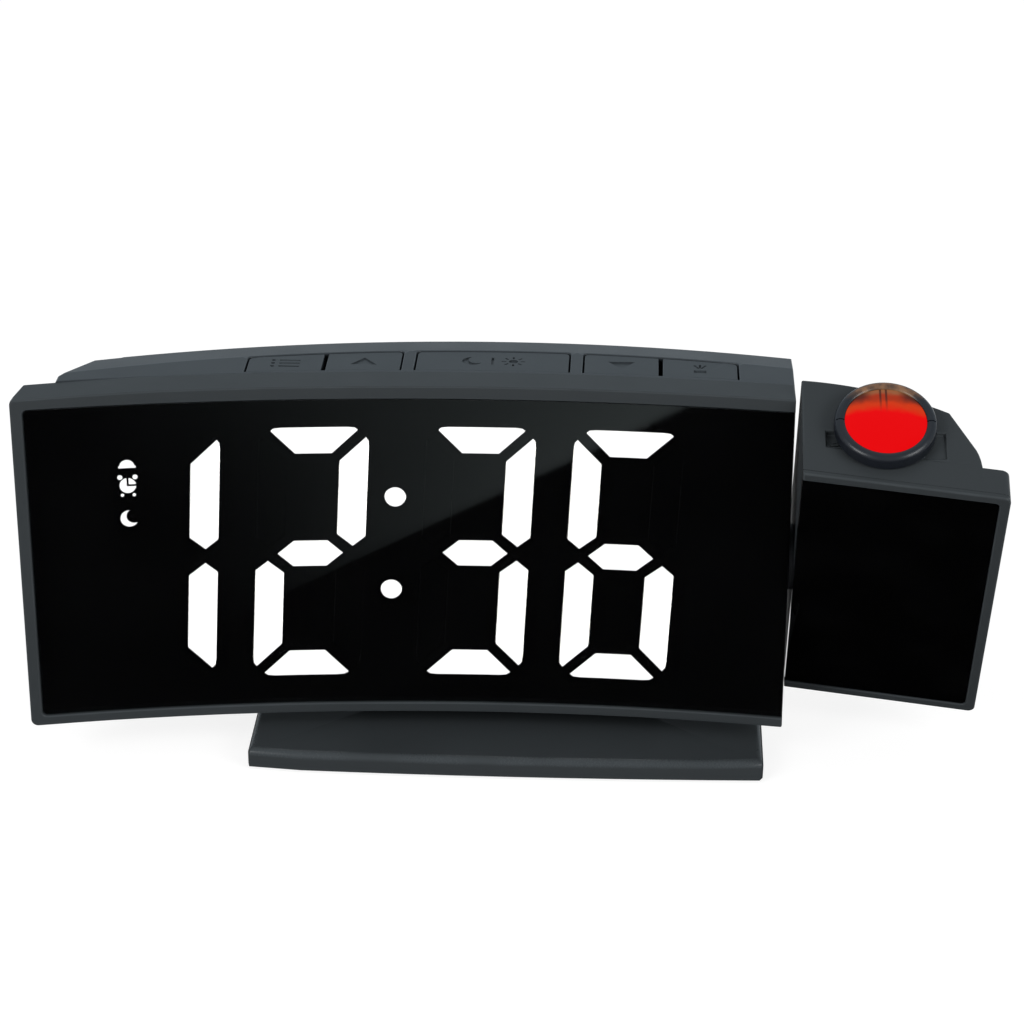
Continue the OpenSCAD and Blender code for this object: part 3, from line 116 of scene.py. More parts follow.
class CaseLook(bpy.types.PropertyGroup):
    """Finish of the casing, the stand and the keys."""

    casing: shade_of("Casing", "Colour of the bezel, the head's frame and the stand",
                     (0.188, 0.203, 0.212))
    rear: shade_of("Rear", "Colour of the rear housing and the head's shell",
                   (0.183, 0.201, 0.216))
    keys: shade_of("Keys", "Colour of the keys", (0.205, 0.225, 0.24))
    roughness: FloatProperty(name="Roughness", description="Roughness of the moulded plastic",
                             default=0.42, min=0, max=1, subtype="FACTOR")
    edge: length_of("Edge", "Rounding of the casing's edges", 0.32 * MM)
    end_edge: length_of("End edge", "Rounding along the housing's slanted end", 0.55 * MM)
    key_edge: length_of("Key edge", "Rounding of the keys' and bays' edges", 0.2 * MM)
    key_corner: length_of("Key corner", "Radius of the keys' outer back corners", 1.0 * MM)
    crease: length_of("Crease", "Rounding where the top turns down to its back strip", 0.15 * MM)
    stand_edge: length_of("Stand edge", "Rounding of the stand's top edge", 1.4 * MM)


class DisplayLook(bpy.types.PropertyGroup):
    """Finish of the window and the digits."""

    tint: shade_of("Tint", "Colour of the smoked window", (0.02, 0.02, 0.022))
    density: FloatProperty(name="Density", description="How dark the smoked window is",
                           default=0.6, min=0, max=1, subtype="FACTOR")
    corner: length_of("Corner", "Radius of the window's left corners", 1.0 * MM)
    chamfer: length_of("Chamfer", "Rounding of the window's front edges", 0.15 * MM)
    columns: IntProperty(name="Columns", description="Flat strips that make up the window's bend",
                         default=96, min=12)
    digits: shade_of("Digits", "Colour of the lit digits", (1.0, 1.0, 1.0))
    strength: FloatProperty(name="Strength", description="Brightness of the lit digits",
                            default=6.8, min=0)


class HeadLook(bpy.types.PropertyGroup):
    """Shape and finish of the projector head's ring and lens."""

    hole_r: length_of("Opening", "Radius of the ring's opening", 7.7 * MM)
    ring_edge: length_of("Ring edge", "Rounding of the ring's outer edge", 1.25 * MM)
    edge: length_of("Edge", "Rounding of the head's outer edges", 0.35 * MM)
    end_round: length_of("End round", "Rounding of the shell's right end, seen from above",
                         2.2 * MM)
    lip: length_of("Lip", "Rounding of the edge round the panel", 0.25 * MM)
    groove: length_of("Groove", "Depth of the thin groove round the frame", 0.12 * MM)
    lens: shade_of("Lens", "Colour of the lit lens", (0.9, 0.01, 0.03))
    glow: FloatProperty(name="Glow", description="Brightness of the lit lens",
                        default=1.0, min=0)


class StageLook(bpy.types.PropertyGroup):
    """Camera, floor and light."""

    azimuth: FloatProperty(name="Azimuth", description="Camera's turn round the clock",
                           default=math.radians(2.51), subtype="ANGLE", unit="ROTATION")
    elevation: FloatProperty(name="Elevation", description="Camera's height above level",
                             default=math.radians(24.87), subtype="ANGLE", unit="ROTATION")
    roll: FloatProperty(name="Roll", description="Camera's turn about its own axis",
                        default=math.radians(0.16), subtype="ANGLE", unit="ROTATION")
    distance: length_of("Distance", "Camera's distance from what it looks at", 604.3 * MM)
    focal: FloatProperty(name="Focal length", description="Camera's focal length, in mm",
                         default=109.34, min=10)
    floor: shade_of("Floor", "Colour of the floor", (0.95, 0.95, 0.95))
    ambient: FloatProperty(name="Ambient", description="Strength of the light from all round",
                           default=0.52, min=0)
    sky: FloatVectorProperty(name="Sky", description="Tone of the surroundings in gloss",
                             subtype="COLOR", size=3, min=0, max=1, default=(0.78, 0.91, 1.0))
    gloss: FloatProperty(name="Gloss", description="Brightness of the surroundings in gloss",
                         default=0.7, min=0)


LOOKS = {"clock_case": CaseLook, "clock_display": DisplayLook,
         "clock_head": HeadLook, "clock_stage": StageLook}


def look(name):
    return getattr(bpy.context.scene, name)


# ---- materials

def linear(shade):
    """A screen colour as the RGBA that a shader takes."""
    return (*Color(shade[:]).from_srgb_to_scene_linear(), 1.0)


def toned(base, share, lift=0.0):
    """A linear RGBA made lighter or darker."""
    return (*(min(1, c * share + lift) for c in base[:3]), 1.0)


class Finish:
    """A procedural material on Object coordinates, put together node by node."""

    def __init__(self, name, shade, roughness=0.5, **sockets):
        self.material = bpy.data.materials.new(name)
        self.material.use_nodes = True
        self.nodes = self.material.node_tree.nodes
        self.links = self.material.node_tree.links
        self.shader = next(n for n in self.nodes if n.type == "BSDF_PRINCIPLED")
        self.output = next(n for n in self.nodes if n.type == "OUTPUT_MATERIAL")
        self.place = self.nodes.new("ShaderNodeTexCoord").outputs["Object"]
        self.set("Base Color", linear(shade))
        self.set("Roughness", roughness)
        for socket, value in sockets.items():
            self.set(socket.replace("_", " "), value)

    def set(self, socket, value):
        self.shader.inputs[socket].default_value = value

    def node(self, kind, **settings):
        made = self.nodes.new(kind)
        for key, value in settings.items():
            setattr(made, key, value)
        return made

    def noise(self, size, detail=3.0, place=None):
        """Noise whose grains are about size across, from 0 to 1."""
        made = self.node("ShaderNodeTexNoise")
        made.inputs["Scale"].default_value = 1 / size
        made.inputs["Detail"].default_value = detail
        self.links.new(place or self.place, made.inputs["Vector"])
        return made.outputs["Fac"]

    def ramp(self, value, low, high, from_low=0.0, from_high=1.0, smooth=False):
        made = self.node("ShaderNodeMapRange",
                         interpolation_type="SMOOTHSTEP" if smooth else "LINEAR")
        for socket, number in (("From Min", from_low), ("From Max", from_high),
                               ("To Min", low), ("To Max", high)):
            made.inputs[socket].default_value = number
        self.links.new(value, made.inputs["Value"])
        return made.outputs["Result"]

    def maths(self, operation, a, b=0.0):
        made = self.node("ShaderNodeMath", operation=operation)
        for socket, value in zip(made.inputs, (a, b)):
            if isinstance(value, (int, float)):
                socket.default_value = value
            else:
                self.links.new(value, socket)
        return made.outputs[0]

    def mix(self, share, first, second):
        """A colour between two, by share. Each is an RGBA or a socket."""
        made = self.node("ShaderNodeMix", data_type="RGBA")
        for socket, value in zip((made.inputs[0], made.inputs[6], made.inputs[7]),
                                 (share, first, second)):
            if isinstance(value, (int, float, tuple)):
                socket.default_value = value
            else:
                self.links.new(value, socket)
        return made.outputs[2]

    def along(self, origin, direction):
        """Distance of a point from origin along a direction, in metres."""
        shift = self.node("ShaderNodeVectorMath", operation="SUBTRACT")
        shift.inputs[1].default_value = origin
        self.links.new(self.place, shift.inputs[0])
        dot = self.node("ShaderNodeVectorMath", operation="DOT_PRODUCT")
        dot.inputs[1].default_value = direction
        self.links.new(shift.outputs[0], dot.inputs[0])
        return dot.outputs["Value"]

    def bump(self, height, depth, strength=1.0):
        made = self.node("ShaderNodeBump")
        made.inputs["Distance"].default_value = depth
        made.inputs["Strength"].default_value = strength
        self.links.new(height, made.inputs["Height"])
        self.links.new(made.outputs["Normal"], self.shader.inputs["Normal"])

    def worn_and_highlit(self):
        """Share of wear and painted highlight that the piece's rounded edges carry, from 0 to 1.
        """
        return self.node("ShaderNodeAttribute", attribute_name=WEAR_AND_HIGHLIGHT).outputs["Fac"]

    def feed(self, socket, value):
        self.links.new(value, self.shader.inputs[socket])


def moulded(name, shade, roughness, grain=0.35 * MM, depth=0.012 * MM, mottle=0.06,
            specular=0.13):
    """Moulded plastic: a fine eroded grain, faint flow marks, duller patches, edges lighter from
    wear and a painted highlight.
    """
    finish = Finish(name, shade, roughness, Specular_IOR_Level=specular)
    base = linear(shade)
    fine = finish.noise(grain, 4)
    patches = finish.noise(9 * MM, 3)
    # Rounded edges painted lighter: partly wear, partly a painted highlight along them
    wear_and_highlight = finish.maths("MULTIPLY", finish.worn_and_highlit(), finish.ramp(patches, 0.3, 1.0, 0.3, 0.7))
    body = finish.mix(finish.noise(22 * MM, 2), toned(base, 1 - mottle), toned(base, 1 + mottle))
    finish.feed("Base Color", finish.mix(wear_and_highlight, body, toned(base, 1.35)))
    worn = finish.maths("ADD", finish.ramp(patches, -0.05, 0.05), finish.ramp(fine, -0.03, 0.03))
    worn = finish.maths("SUBTRACT", worn, finish.maths("MULTIPLY", wear_and_highlight, 0.1))
    finish.feed("Roughness", finish.maths("ADD", worn, roughness))
    finish.bump(fine, depth, 0.6)
    return finish.material


def printed(name, shade, roughness):
    """A flat printed or sprayed layer: faint cloudiness and no relief."""
    finish = Finish(name, shade, roughness, Specular_IOR_Level=0.0)
    base = linear(shade)
    paler = toned(base, 1.25, 0.0004)
    finish.feed("Base Color", finish.mix(finish.noise(11 * MM, 3), base, paler))
    finish.feed("Roughness", finish.ramp(finish.noise(4 * MM, 2), roughness - 0.06,
                                         roughness + 0.06))
    return finish.material


def polished(name, shade, roughness=0.04, **sockets):
    """Polished plastic with faint smears."""
    finish = Finish(name, shade, roughness, **sockets)
    smears = finish.noise(14 * MM, 4)
    finish.feed("Roughness", finish.ramp(smears, roughness * 0.7, roughness * 1.6, 0.3, 0.7))
    return finish.material


def dusty(name, shade, dust, size, **sockets):
    """Dark, glossy plastic with faint dusty patches about size across."""
    finish = Finish(name, shade, 0.03, **sockets)
    patches = finish.ramp(finish.noise(size, 3), 0, 1, 0.45, 0.75)
    finish.feed("Base Color", finish.mix(patches, linear(shade), linear(dust)))
    return finish.material


def metal(name, shade, roughness=0.3, brushed=0.25 * MM):
    """Turned or pressed metal with fine marks and a slight tarnish."""
    finish = Finish(name, shade, roughness, Metallic=1.0)
    base = linear(shade)
    bright = finish.ramp(finish.noise(3 * MM, 5), 0, 1, 0.35, 0.7)
    finish.feed("Base Color", finish.mix(bright, toned(base, 0.72), base))
    marks = finish.noise(brushed, 3)
    finish.feed("Roughness", finish.ramp(marks, roughness * 0.7, roughness * 1.4))
    finish.bump(marks, 0.01 * MM, 0.4)
    return finish.material


def circuit(name, shade):
    """Solder mask over copper: tracks on a grid, and a fine weave under it."""
    finish = Finish(name, shade, 0.35)
    base = linear(shade)
    turn = finish.node("ShaderNodeMapping")
    turn.inputs["Rotation"].default_value = (math.pi / 2, 0, 0)
    finish.links.new(finish.place, turn.inputs["Vector"])
    bricks = finish.node("ShaderNodeTexBrick", offset=0.37, squash=1.6)
    for socket, value in (("Scale", 1.0), ("Mortar Size", 0.22 * MM), ("Mortar Smooth", 0.1),
                          ("Brick Width", 5.2 * MM), ("Row Height", 1.3 * MM)):
        bricks.inputs[socket].default_value = value
    finish.links.new(turn.outputs["Vector"], bricks.inputs["Vector"])
    share = finish.maths("MULTIPLY", bricks.outputs["Fac"],
                         finish.ramp(finish.noise(6 * MM, 1), 0, 1, 0.42, 0.5))
    finish.feed("Base Color", finish.mix(share, base, toned(base, 1.9, 0.004)))
    finish.feed("Roughness", finish.ramp(finish.noise(0.4 * MM, 2), 0.28, 0.42))
    finish.bump(share, 0.03 * MM, 0.5)
    return finish.material


def glowing(name, shade, strength, shell=(0.9, 0.9, 0.9)):
    """A lit diffuser: the light falls off a little in faint clouds."""
    finish = Finish(name, shell, 0.5)
    clouds = finish.ramp(finish.noise(6 * MM, 2), strength * 0.96, strength * 1.04, 0.3, 0.7)
    finish.set("Emission Color", linear(shade))
    finish.feed("Emission Strength", clouds)
    return finish.material


# ---- mesh helpers

def edges_over(bm, degrees):
    """Edges at which two faces meet at more than an angle."""
    limit = math.radians(degrees)
    return [e for e in bm.edges if len(e.link_faces) == 2 and e.calc_face_angle(0) > limit]


def copy_of(node):
    """A bmesh of a frame node's shell, with its loose triangles joined up into faces."""
    bm = bmesh.new()
    bm.from_mesh(frame["nodes"][node].data)
    bmesh.ops.remove_doubles(bm, verts=bm.verts, dist=WELD)
    bmesh.ops.dissolve_limit(bm, angle_limit=math.radians(0.15), verts=bm.verts, edges=bm.edges)
    return bm


def middle_of(edge):
    return (edge.verts[0].co + edge.verts[1].co) / 2


def round_edges(bm, width, picked=None, angle=28, segments=3, worn_and_highlit=True):
    """Rounds the sharp edges that picked accepts and that aren't round yet.

    The new faces carry wear and a painted highlight, unless the caller turns that off.
    """
    wear_and_highlight = bm.faces.layers.float.get(WEAR_AND_HIGHLIGHT) or bm.faces.layers.float.new(WEAR_AND_HIGHLIGHT)
    chosen = [e for e in edges_over(bm, angle)
              if not any(f[wear_and_highlight] for f in e.link_faces) and (picked is None or picked(e))]
    made = bmesh.ops.bevel(bm, geom=chosen, offset=width, offset_type="OFFSET", affect="EDGES",
                           segments=segments, profile=0.5, material=-1, clamp_overlap=False,
                           miter_outer="SHARP", loop_slide=False)
    if worn_and_highlit:
        for face in made["faces"]:
            face[wear_and_highlight] = 1.0


def bisect(bm, point, normal):
    """Cuts every face along a plane, and keeps both sides."""
    bmesh.ops.bisect_plane(bm, geom=[*bm.verts, *bm.edges, *bm.faces], dist=0.0001 * MM,
                           plane_co=point, plane_no=normal)


def is_upright(edge):
    run = edge.verts[1].co - edge.verts[0].co
    return abs(run.z) > 0.99 * run.length


def front_curve():
    """Centre, along Y, and radius of the window's hollow front, from its two ends."""
    points = [v.co for v in frame["nodes"]["display_window"].data.vertices]
    left = min((p for p in points if p.x < PANE_LOW.x + NEAR), key=lambda p: p.y)
    right = min((p for p in points if p.x > PANE_HIGH.x - NEAR), key=lambda p: p.y)
    centre = (left.x ** 2 - right.x ** 2 + left.y ** 2 - right.y ** 2) / (2 * (left.y - right.y))
    return centre, math.hypot(left.x, left.y - centre)


FRONT_CENTRE, FRONT_RADIUS = front_curve()


def head_face():
    """A point on the head's flat front, the direction into the head, and the frame's depth."""
    points = [v.co for v in frame["nodes"]["head_frame"].data.vertices]

    def front_at(x):
        return min((p for p in points if abs(p.x - x) < NEAR),
                   key=lambda p: (p - SWIVEL).dot(HEAD_BACK))

    left = front_at(FRAME_LOW.x).copy()
    run = front_at(FRAME_HIGH.x) - left
    run -= LENS_AXIS * run.dot(LENS_AXIS)
    inward = LENS_AXIS.cross(run).normalized()
    if inward.dot(HEAD_BACK) < 0:
        inward.negate()
    return left, inward, max((p - left).dot(inward) for p in points)


FACE_POINT, FACE_INWARD, FRAME_DEPTH = head_face()


def behind_face(point):
    """How far a point lies behind the head's flat front."""
    return (point - FACE_POINT).dot(FACE_INWARD)


def head_height(point):
    """How far a point lies above the swivel, along the lens axis."""
    return (point - SWIVEL).dot(LENS_AXIS)


def ring_height(point):
    """How far a point lies above the focus ring's base, along the lens axis."""
    return (point - RING_BASE).dot(LENS_AXIS)


def lens_radius(point):
    """How far a point lies from the lens axis."""
    return (point - RING_BASE).cross(LENS_AXIS).length


def pane_front(x):
    """Y of the window's front at x."""
    return FRONT_CENTRE + math.sqrt(FRONT_RADIUS ** 2 - x * x)


def linked(bm, name, material):
    """Ends a bmesh as a named object in the scene."""
    mesh = bpy.data.meshes.new(name)
    bm.to_mesh(mesh)
    bm.free()
    mesh.materials.append(material)
    made = bpy.data.objects.new(name, mesh)
    bpy.context.scene.collection.objects.link(made)
    return made


def piece_from(bm, name, body, material, node, smooth=32):
    """Ends a bmesh as a piece that rides on a body and stands for a frame node."""
    piece = linked(bm, name, material)
    piece.data.shade_smooth()
    piece.data.set_sharp_from_angle(angle=math.radians(smooth))
    weighted = piece.modifiers.new("even_normals", "WEIGHTED_NORMAL")
    weighted.keep_sharp = True
    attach(piece, body)
    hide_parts(node)


def dress(material, *nodes, edge=0.0):
    """Gives frame nodes a material and, where edge is set, a small live bevel."""
    for name in nodes:
        node = frame["nodes"][name]
        node.data.materials.clear()
        node.data.materials.append(material)
        if edge:
            weld = node.modifiers.new("joined", "WELD")
            weld.merge_threshold = WELD
            bevel = node.modifiers.new("eased_edges", "BEVEL")
            bevel.width = edge
            bevel.segments = 2
            bevel.limit_method = "ANGLE"
            bevel.angle_limit = math.radians(40)


def lens_frame():
    """Places a part that was made round Z on the lens axis, standing on the ring's base."""
    turn = Matrix((HEAD_RIGHT, HEAD_BACK, LENS_AXIS)).transposed().to_4x4()
    return Matrix.Translation(RING_BASE) @ turn


def turned(profile, steps=96):
    """A solid of revolution round Z from a profile of (radius, height) points."""
    bm = bmesh.new()
    ring = [bm.verts.new((r, 0, z)) for r, z in profile]
    edges = [bm.edges.new(pair) for pair in zip(ring, ring[1:])]
    if profile[0][0] and profile[-1][0]:
        edges.append(bm.edges.new((ring[-1], ring[0])))
    bmesh.ops.spin(bm, geom=ring + edges, axis=(0, 0, 1), cent=(0, 0, 0), angle=math.tau,
                   steps=steps, use_merge=True)
    bmesh.ops.remove_doubles(bm, verts=bm.verts, dist=0.001 * MM)
    bmesh.ops.recalc_face_normals(bm, faces=bm.faces)
    return bm


# ---- operators

class CLOCK_OT_casing(bpy.types.Operator):
    """Front bezel and rear housing with their rounded edges"""

    bl_idname = "clock.casing"
    bl_label = "Casing"

    def execute(self, context):
        case = look("clock_case")
        front = moulded("bezel_plastic", case.casing, case.roughness)
        rear = moulded("housing_plastic", case.rear, case.roughness, specular=0.22)
        self.bezel(case, front)
        self.housing(case, rear)
        dress(rear, "battery_cap", edge=0.3 * MM)
        return {"FINISHED"}

    def bezel(self, case, plastic):
        """Rounded everywhere but in the window's seat."""
        bm = copy_of("front_bezel")
        grow = 0.3 * MM

        def outside(edge):
            p = middle_of(edge)
            in_seat = (p.x > PANE_LOW.x - grow and PANE_LOW.z - grow < p.z < PANE_HIGH.z + grow
                       and p.y > pane_front(p.x) - grow)
            return not in_seat

        round_edges(bm, case.edge, outside)
        piece_from(bm, "bezel_shell", "clock", plastic, "front_bezel")

    def housing(self, case, plastic):
        """Rounded bays, a soft slanted end and a crisp crease along the back strip."""
        bm = copy_of("rear_housing")
        top_band = HOUSING_HIGH.z - 2.6 * MM
        bay_gap, bay_slack, bay_floor, end_gap = 0.3 * MM, 0.15 * MM, 1 * MM, 5 * MM
        bezel_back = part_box("front_bezel")[1].y - pane_front(0) + 0.05 * MM
        ends = []
        for key, sides in BAY_ENDS.items():
            low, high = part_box(f"{key}_button")
            ends += [(low.x - bay_gap if side < 0 else high.x + bay_gap, (low.y + high.y) / 2)
                     for side in sides]

        def bay_corner(edge):
            p = middle_of(edge)
            return (is_upright(edge) and p.z > top_band - bay_floor
                    and any(abs(p.x - x) < bay_slack and p.y > y for x, y in ends))

        def on_top(edge):
            p = middle_of(edge)
            return (p.z > top_band and any(f.normal.z > 0.5 for f in edge.link_faces)
                    and p.y > pane_front(p.x) + bezel_back)

        def slanted_end(edge):
            return (on_top(edge) and any(f.normal.x < -0.3 for f in edge.link_faces)
                    and middle_of(edge).x < ends[0][0] - end_gap)

        round_edges(bm, case.key_corner, bay_corner, segments=6, worn_and_highlit=False)
        round_edges(bm, case.end_edge, slanted_end, segments=4)
        round_edges(bm, case.key_edge, on_top)
        round_edges(bm, case.crease, on_top, angle=5, segments=2)
        piece_from(bm, "housing_shell", "clock", plastic, "rear_housing")


class CLOCK_OT_display(bpy.types.Operator):
    """Smoked window, mask and lit digits"""

    bl_idname = "clock.display"
    bl_label = "Display"

    def execute(self, context):
        view = look("clock_display")
        self.window(view)
        dress(printed("mask_film", (0.03, 0.03, 0.033), 0.7), "display_mask")
        dress(glowing("digit_light", view.digits, view.strength), "lit_segments",
              "symbol_lenses")
        dress(printed("unlit_diffuser", (0.03, 0.03, 0.033), 0.6), "dark_segments")
        return {"FINISHED"}

    def window(self, view):
        """A flat plate with two round corners, bent to the front's curve."""
        film = 0.05 * MM
        thick = PANE_HIGH.y - pane_front(0) - film
        low, high = PANE_LOW, PANE_HIGH
        bm = bmesh.new()
        bmesh.ops.create_cube(bm, size=1)
        bmesh.ops.scale(bm, vec=(high.x - low.x, thick, high.z - low.z), verts=bm.verts)
        bmesh.ops.translate(bm, vec=((low.x + high.x) / 2, thick / 2, (low.z + high.z) / 2),
                            verts=bm.verts)
        corners = [e for e in bm.edges if all(v.co.x < 0 for v in e.verts)
                   and e.verts[0].co.z == e.verts[1].co.z]
        bmesh.ops.bevel(bm, geom=corners, offset=view.corner, offset_type="OFFSET",
                        affect="EDGES", segments=6, profile=0.5, material=-1)
        rim = [e for e in bm.edges if all(v.co.y < thick / 2 for v in e.verts)]
        bmesh.ops.bevel(bm, geom=rim, offset=view.chamfer, offset_type="OFFSET",
                        affect="EDGES", segments=2, profile=0.5, material=-1)
        for column in range(1, view.columns):
            x = low.x + (high.x - low.x) * column / view.columns
            bisect(bm, (x, 0, 0), (1, 0, 0))
        for vert in bm.verts:
            vert.co.y += pane_front(vert.co.x)
        glass = dusty("smoked_glass", view.tint, (0.03, 0.03, 0.032), 17 * MM,
                      Alpha=view.density, IOR=1.49)
        piece_from(bm, "display_pane", "clock", glass, "display_window")


class CLOCK_OT_module(bpy.types.Operator):
    """Reflector block, boards and what they carry"""

    bl_idname = "clock.module"
    bl_label = "Display module and boards"

    def execute(self, context):
        white = moulded("reflector_white", (0.93, 0.93, 0.91), 0.45)
        black = moulded("part_black", (0.09, 0.09, 0.095), 0.5)
        steel = metal("plated_steel", (0.72, 0.73, 0.74), 0.28)
        brass = metal("brass", (0.79, 0.65, 0.37), 0.3)
        dress(white, "reflector_block", "cable_connector", edge=0.1 * MM)
        dress(glowing("led_light", (1.0, 0.98, 0.92), 1.0), "display_leds")
        dress(circuit("circuit_green", (0.07, 0.3, 0.19)), "display_board", "main_board",
              "key_board", "projector_board")
        dress(black, "main_chip", "board_header", "key_switches", "speaker", "dc_jack",
              edge=0.12 * MM)
        dress(steel, "board_parts", "coin_cell", "board_screws", edge=0.15 * MM)
        dress(brass, "battery_contacts")
        return {"FINISHED"}


class CLOCK_OT_keys(bpy.types.Operator):
    """Five keys with cut symbols"""

    bl_idname = "clock.keys"
    bl_label = "Keys"

    def execute(self, context):
        case = look("clock_case")
        plastic = moulded("key_plastic", case.keys, case.roughness - 0.04)
        for key in BAY_ENDS:
            self.key(key, case, plastic)
        return {"FINISHED"}

    def key(self, key, case, plastic):
        """A key's rim is rounded. The cut symbol's edges stay crisp."""
        bm = copy_of(f"{key}_button")
        low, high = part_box(f"{key}_button")
        middle = (low + high) / 2
        inset, top_layer, slack = 1.2 * MM, 0.2 * MM, 0.05 * MM
        flange = high.z - 2.4 * MM
        back_third = middle.y + 2 * MM
        ends = [low.x if side < 0 else high.x for side in BAY_ENDS[key]]

        def outer_corner(edge):
            p = middle_of(edge)
            return (is_upright(edge) and p.z > flange and p.y > back_third
                    and any(abs(p.x - x) < slack for x in ends))

        def rim(edge):
            p = middle_of(edge)
            in_symbol = (low.x + inset < p.x < high.x - inset
                         and low.y + 2 * inset < p.y < high.y - 2 * inset)
            return p.z > high.z - top_layer and not in_symbol

        round_edges(bm, case.key_corner, outer_corner, segments=6, worn_and_highlit=False)
        round_edges(bm, case.key_edge, rim)
        piece_from(bm, f"{key}_cap", f"{key}_key", plastic, f"{key}_button")


class CLOCK_OT_head(bpy.types.Operator):
    """Projector head's frame, panel and shell"""

    bl_idname = "clock.head"
    bl_label = "Projector head"

    def execute(self, context):
        case, head = look("clock_case"), look("clock_head")
        plastic = moulded("head_plastic", case.casing, case.roughness)
        self.frame(head, plastic)
        self.shell(head, plastic)
        dress(dusty("panel_gloss", (0.01, 0.01, 0.011), (0.02, 0.02, 0.022), 14 * MM),
              "head_panel")
        return {"FINISHED"}

    def frame(self, head, plastic):
        """Front frame with a fine groove just behind its face."""
        bm = copy_of("head_frame")
        groove_near, groove_far, groove_wall = 1.0 * MM, 1.14 * MM, 0.02 * MM
        rim, face, side, rear = 1 * MM, 0.05 * MM, 0.1 * MM, 3 * MM
        bisect(bm, (SHELL_HIGH.x, 0, 0), HEAD_RIGHT)
        heights = [head_height(v.co) for v in bm.verts]
        base, top = min(heights), max(heights)

        def at_rim(p):
            height = head_height(p)
            return (min(height - base, top - height, FRAME_HIGH.x - p.x) < rim
                    or p.x < FRAME_LOW.x + side)

        def lip(edge):
            return behind_face(middle_of(edge)) < face

        def front_edge(edge):
            return lip(edge) and at_rim(middle_of(edge))

        def back_edge(edge):
            p = middle_of(edge)
            covered = head_height(p) > top - side and p.x < SHELL_HIGH.x
            return (behind_face(p) > rear and at_rim(p) and p.x > FRAME_LOW.x + side
                    and not covered)

        round_edges(bm, head.edge, front_edge)
        round_edges(bm, head.lip, lip)
        round_edges(bm, head.edge, back_edge)
        for cut in (groove_near, groove_far):
            bisect(bm, FACE_POINT + FACE_INWARD * cut, FACE_INWARD)
        band = [f for f in bm.faces if at_rim(f.calc_center_median())
                and groove_near < behind_face(f.calc_center_median()) < groove_far]
        bmesh.ops.inset_region(bm, faces=band, thickness=groove_wall, depth=-head.groove,
                               use_even_offset=True)
        self.ledge(bm, base, top)
        piece_from(bm, "head_bezel", "projector_head", plastic, "head_frame")

    def ledge(self, bm, base, top):
        """A thin ledge along the frame's right wall, which closes its back beside the shell."""
        wall, width, thick, sunk = 2.6 * MM, 3.4 * MM, 0.85 * MM, 0.05 * MM
        across = FACE_INWARD.cross(LENS_AXIS)
        right = max((v.co - FACE_POINT).dot(across) for v in bm.verts) - wall
        place = Matrix((across, LENS_AXIS, FACE_INWARD)).transposed().to_4x4()
        place.translation = FACE_POINT - LENS_AXIS * head_height(FACE_POINT)
        size = Vector((width, top - base - 2 * wall, thick))
        middle = Vector((right - width / 2, (base + top) / 2, FRAME_DEPTH - sunk - thick / 2))
        bar = bmesh.ops.create_cube(bm, size=1)["verts"]
        bmesh.ops.scale(bm, vec=size, verts=bar)
        bmesh.ops.translate(bm, vec=middle, verts=bar)
        bmesh.ops.transform(bm, matrix=place, verts=bar)
        sides = {f for v in bar for f in v.link_faces}
        bmesh.ops.recalc_face_normals(bm, faces=list(sides))

    def shell(self, head, plastic):
        """Rear shell, rounded but for the seam against the frame."""
        bm = copy_of("head_shell")
        seam, end_seam, side = FRAME_DEPTH + 0.3 * MM, FRAME_DEPTH + 1 * MM, 0.1 * MM

        def end_corner(edge):
            run = edge.verts[1].co - edge.verts[0].co
            p = middle_of(edge)
            return (abs(run.dot(LENS_AXIS)) > 0.9 * run.length
                    and behind_face(p) > end_seam and p.x > SHELL_HIGH.x - side)

        def free(edge):
            return behind_face(middle_of(edge)) > seam

        self.deepen(bm)
        round_edges(bm, head.end_round, end_corner, angle=10, segments=7, worn_and_highlit=False)
        round_edges(bm, head.edge, free)
        piece_from(bm, "head_housing", "projector_head", plastic, "head_shell")

    def deepen(self, bm):
        """Sinks the floor of the left finger recess beside the ring."""
        shallow, deep, sink = 0.3 * MM, 0.7 * MM, 0.9 * MM
        top = max(head_height(v.co) for v in bm.verts)
        floor = set()
        for face in bm.faces:
            p = face.calc_center_median()
            in_recess = p.x < RING_BASE.x and shallow < top - head_height(p) < deep
            if in_recess and face.normal.dot(LENS_AXIS) > 0.9:
                floor.update(face.verts)
        bmesh.ops.translate(bm, vec=-LENS_AXIS * sink, verts=list(floor))


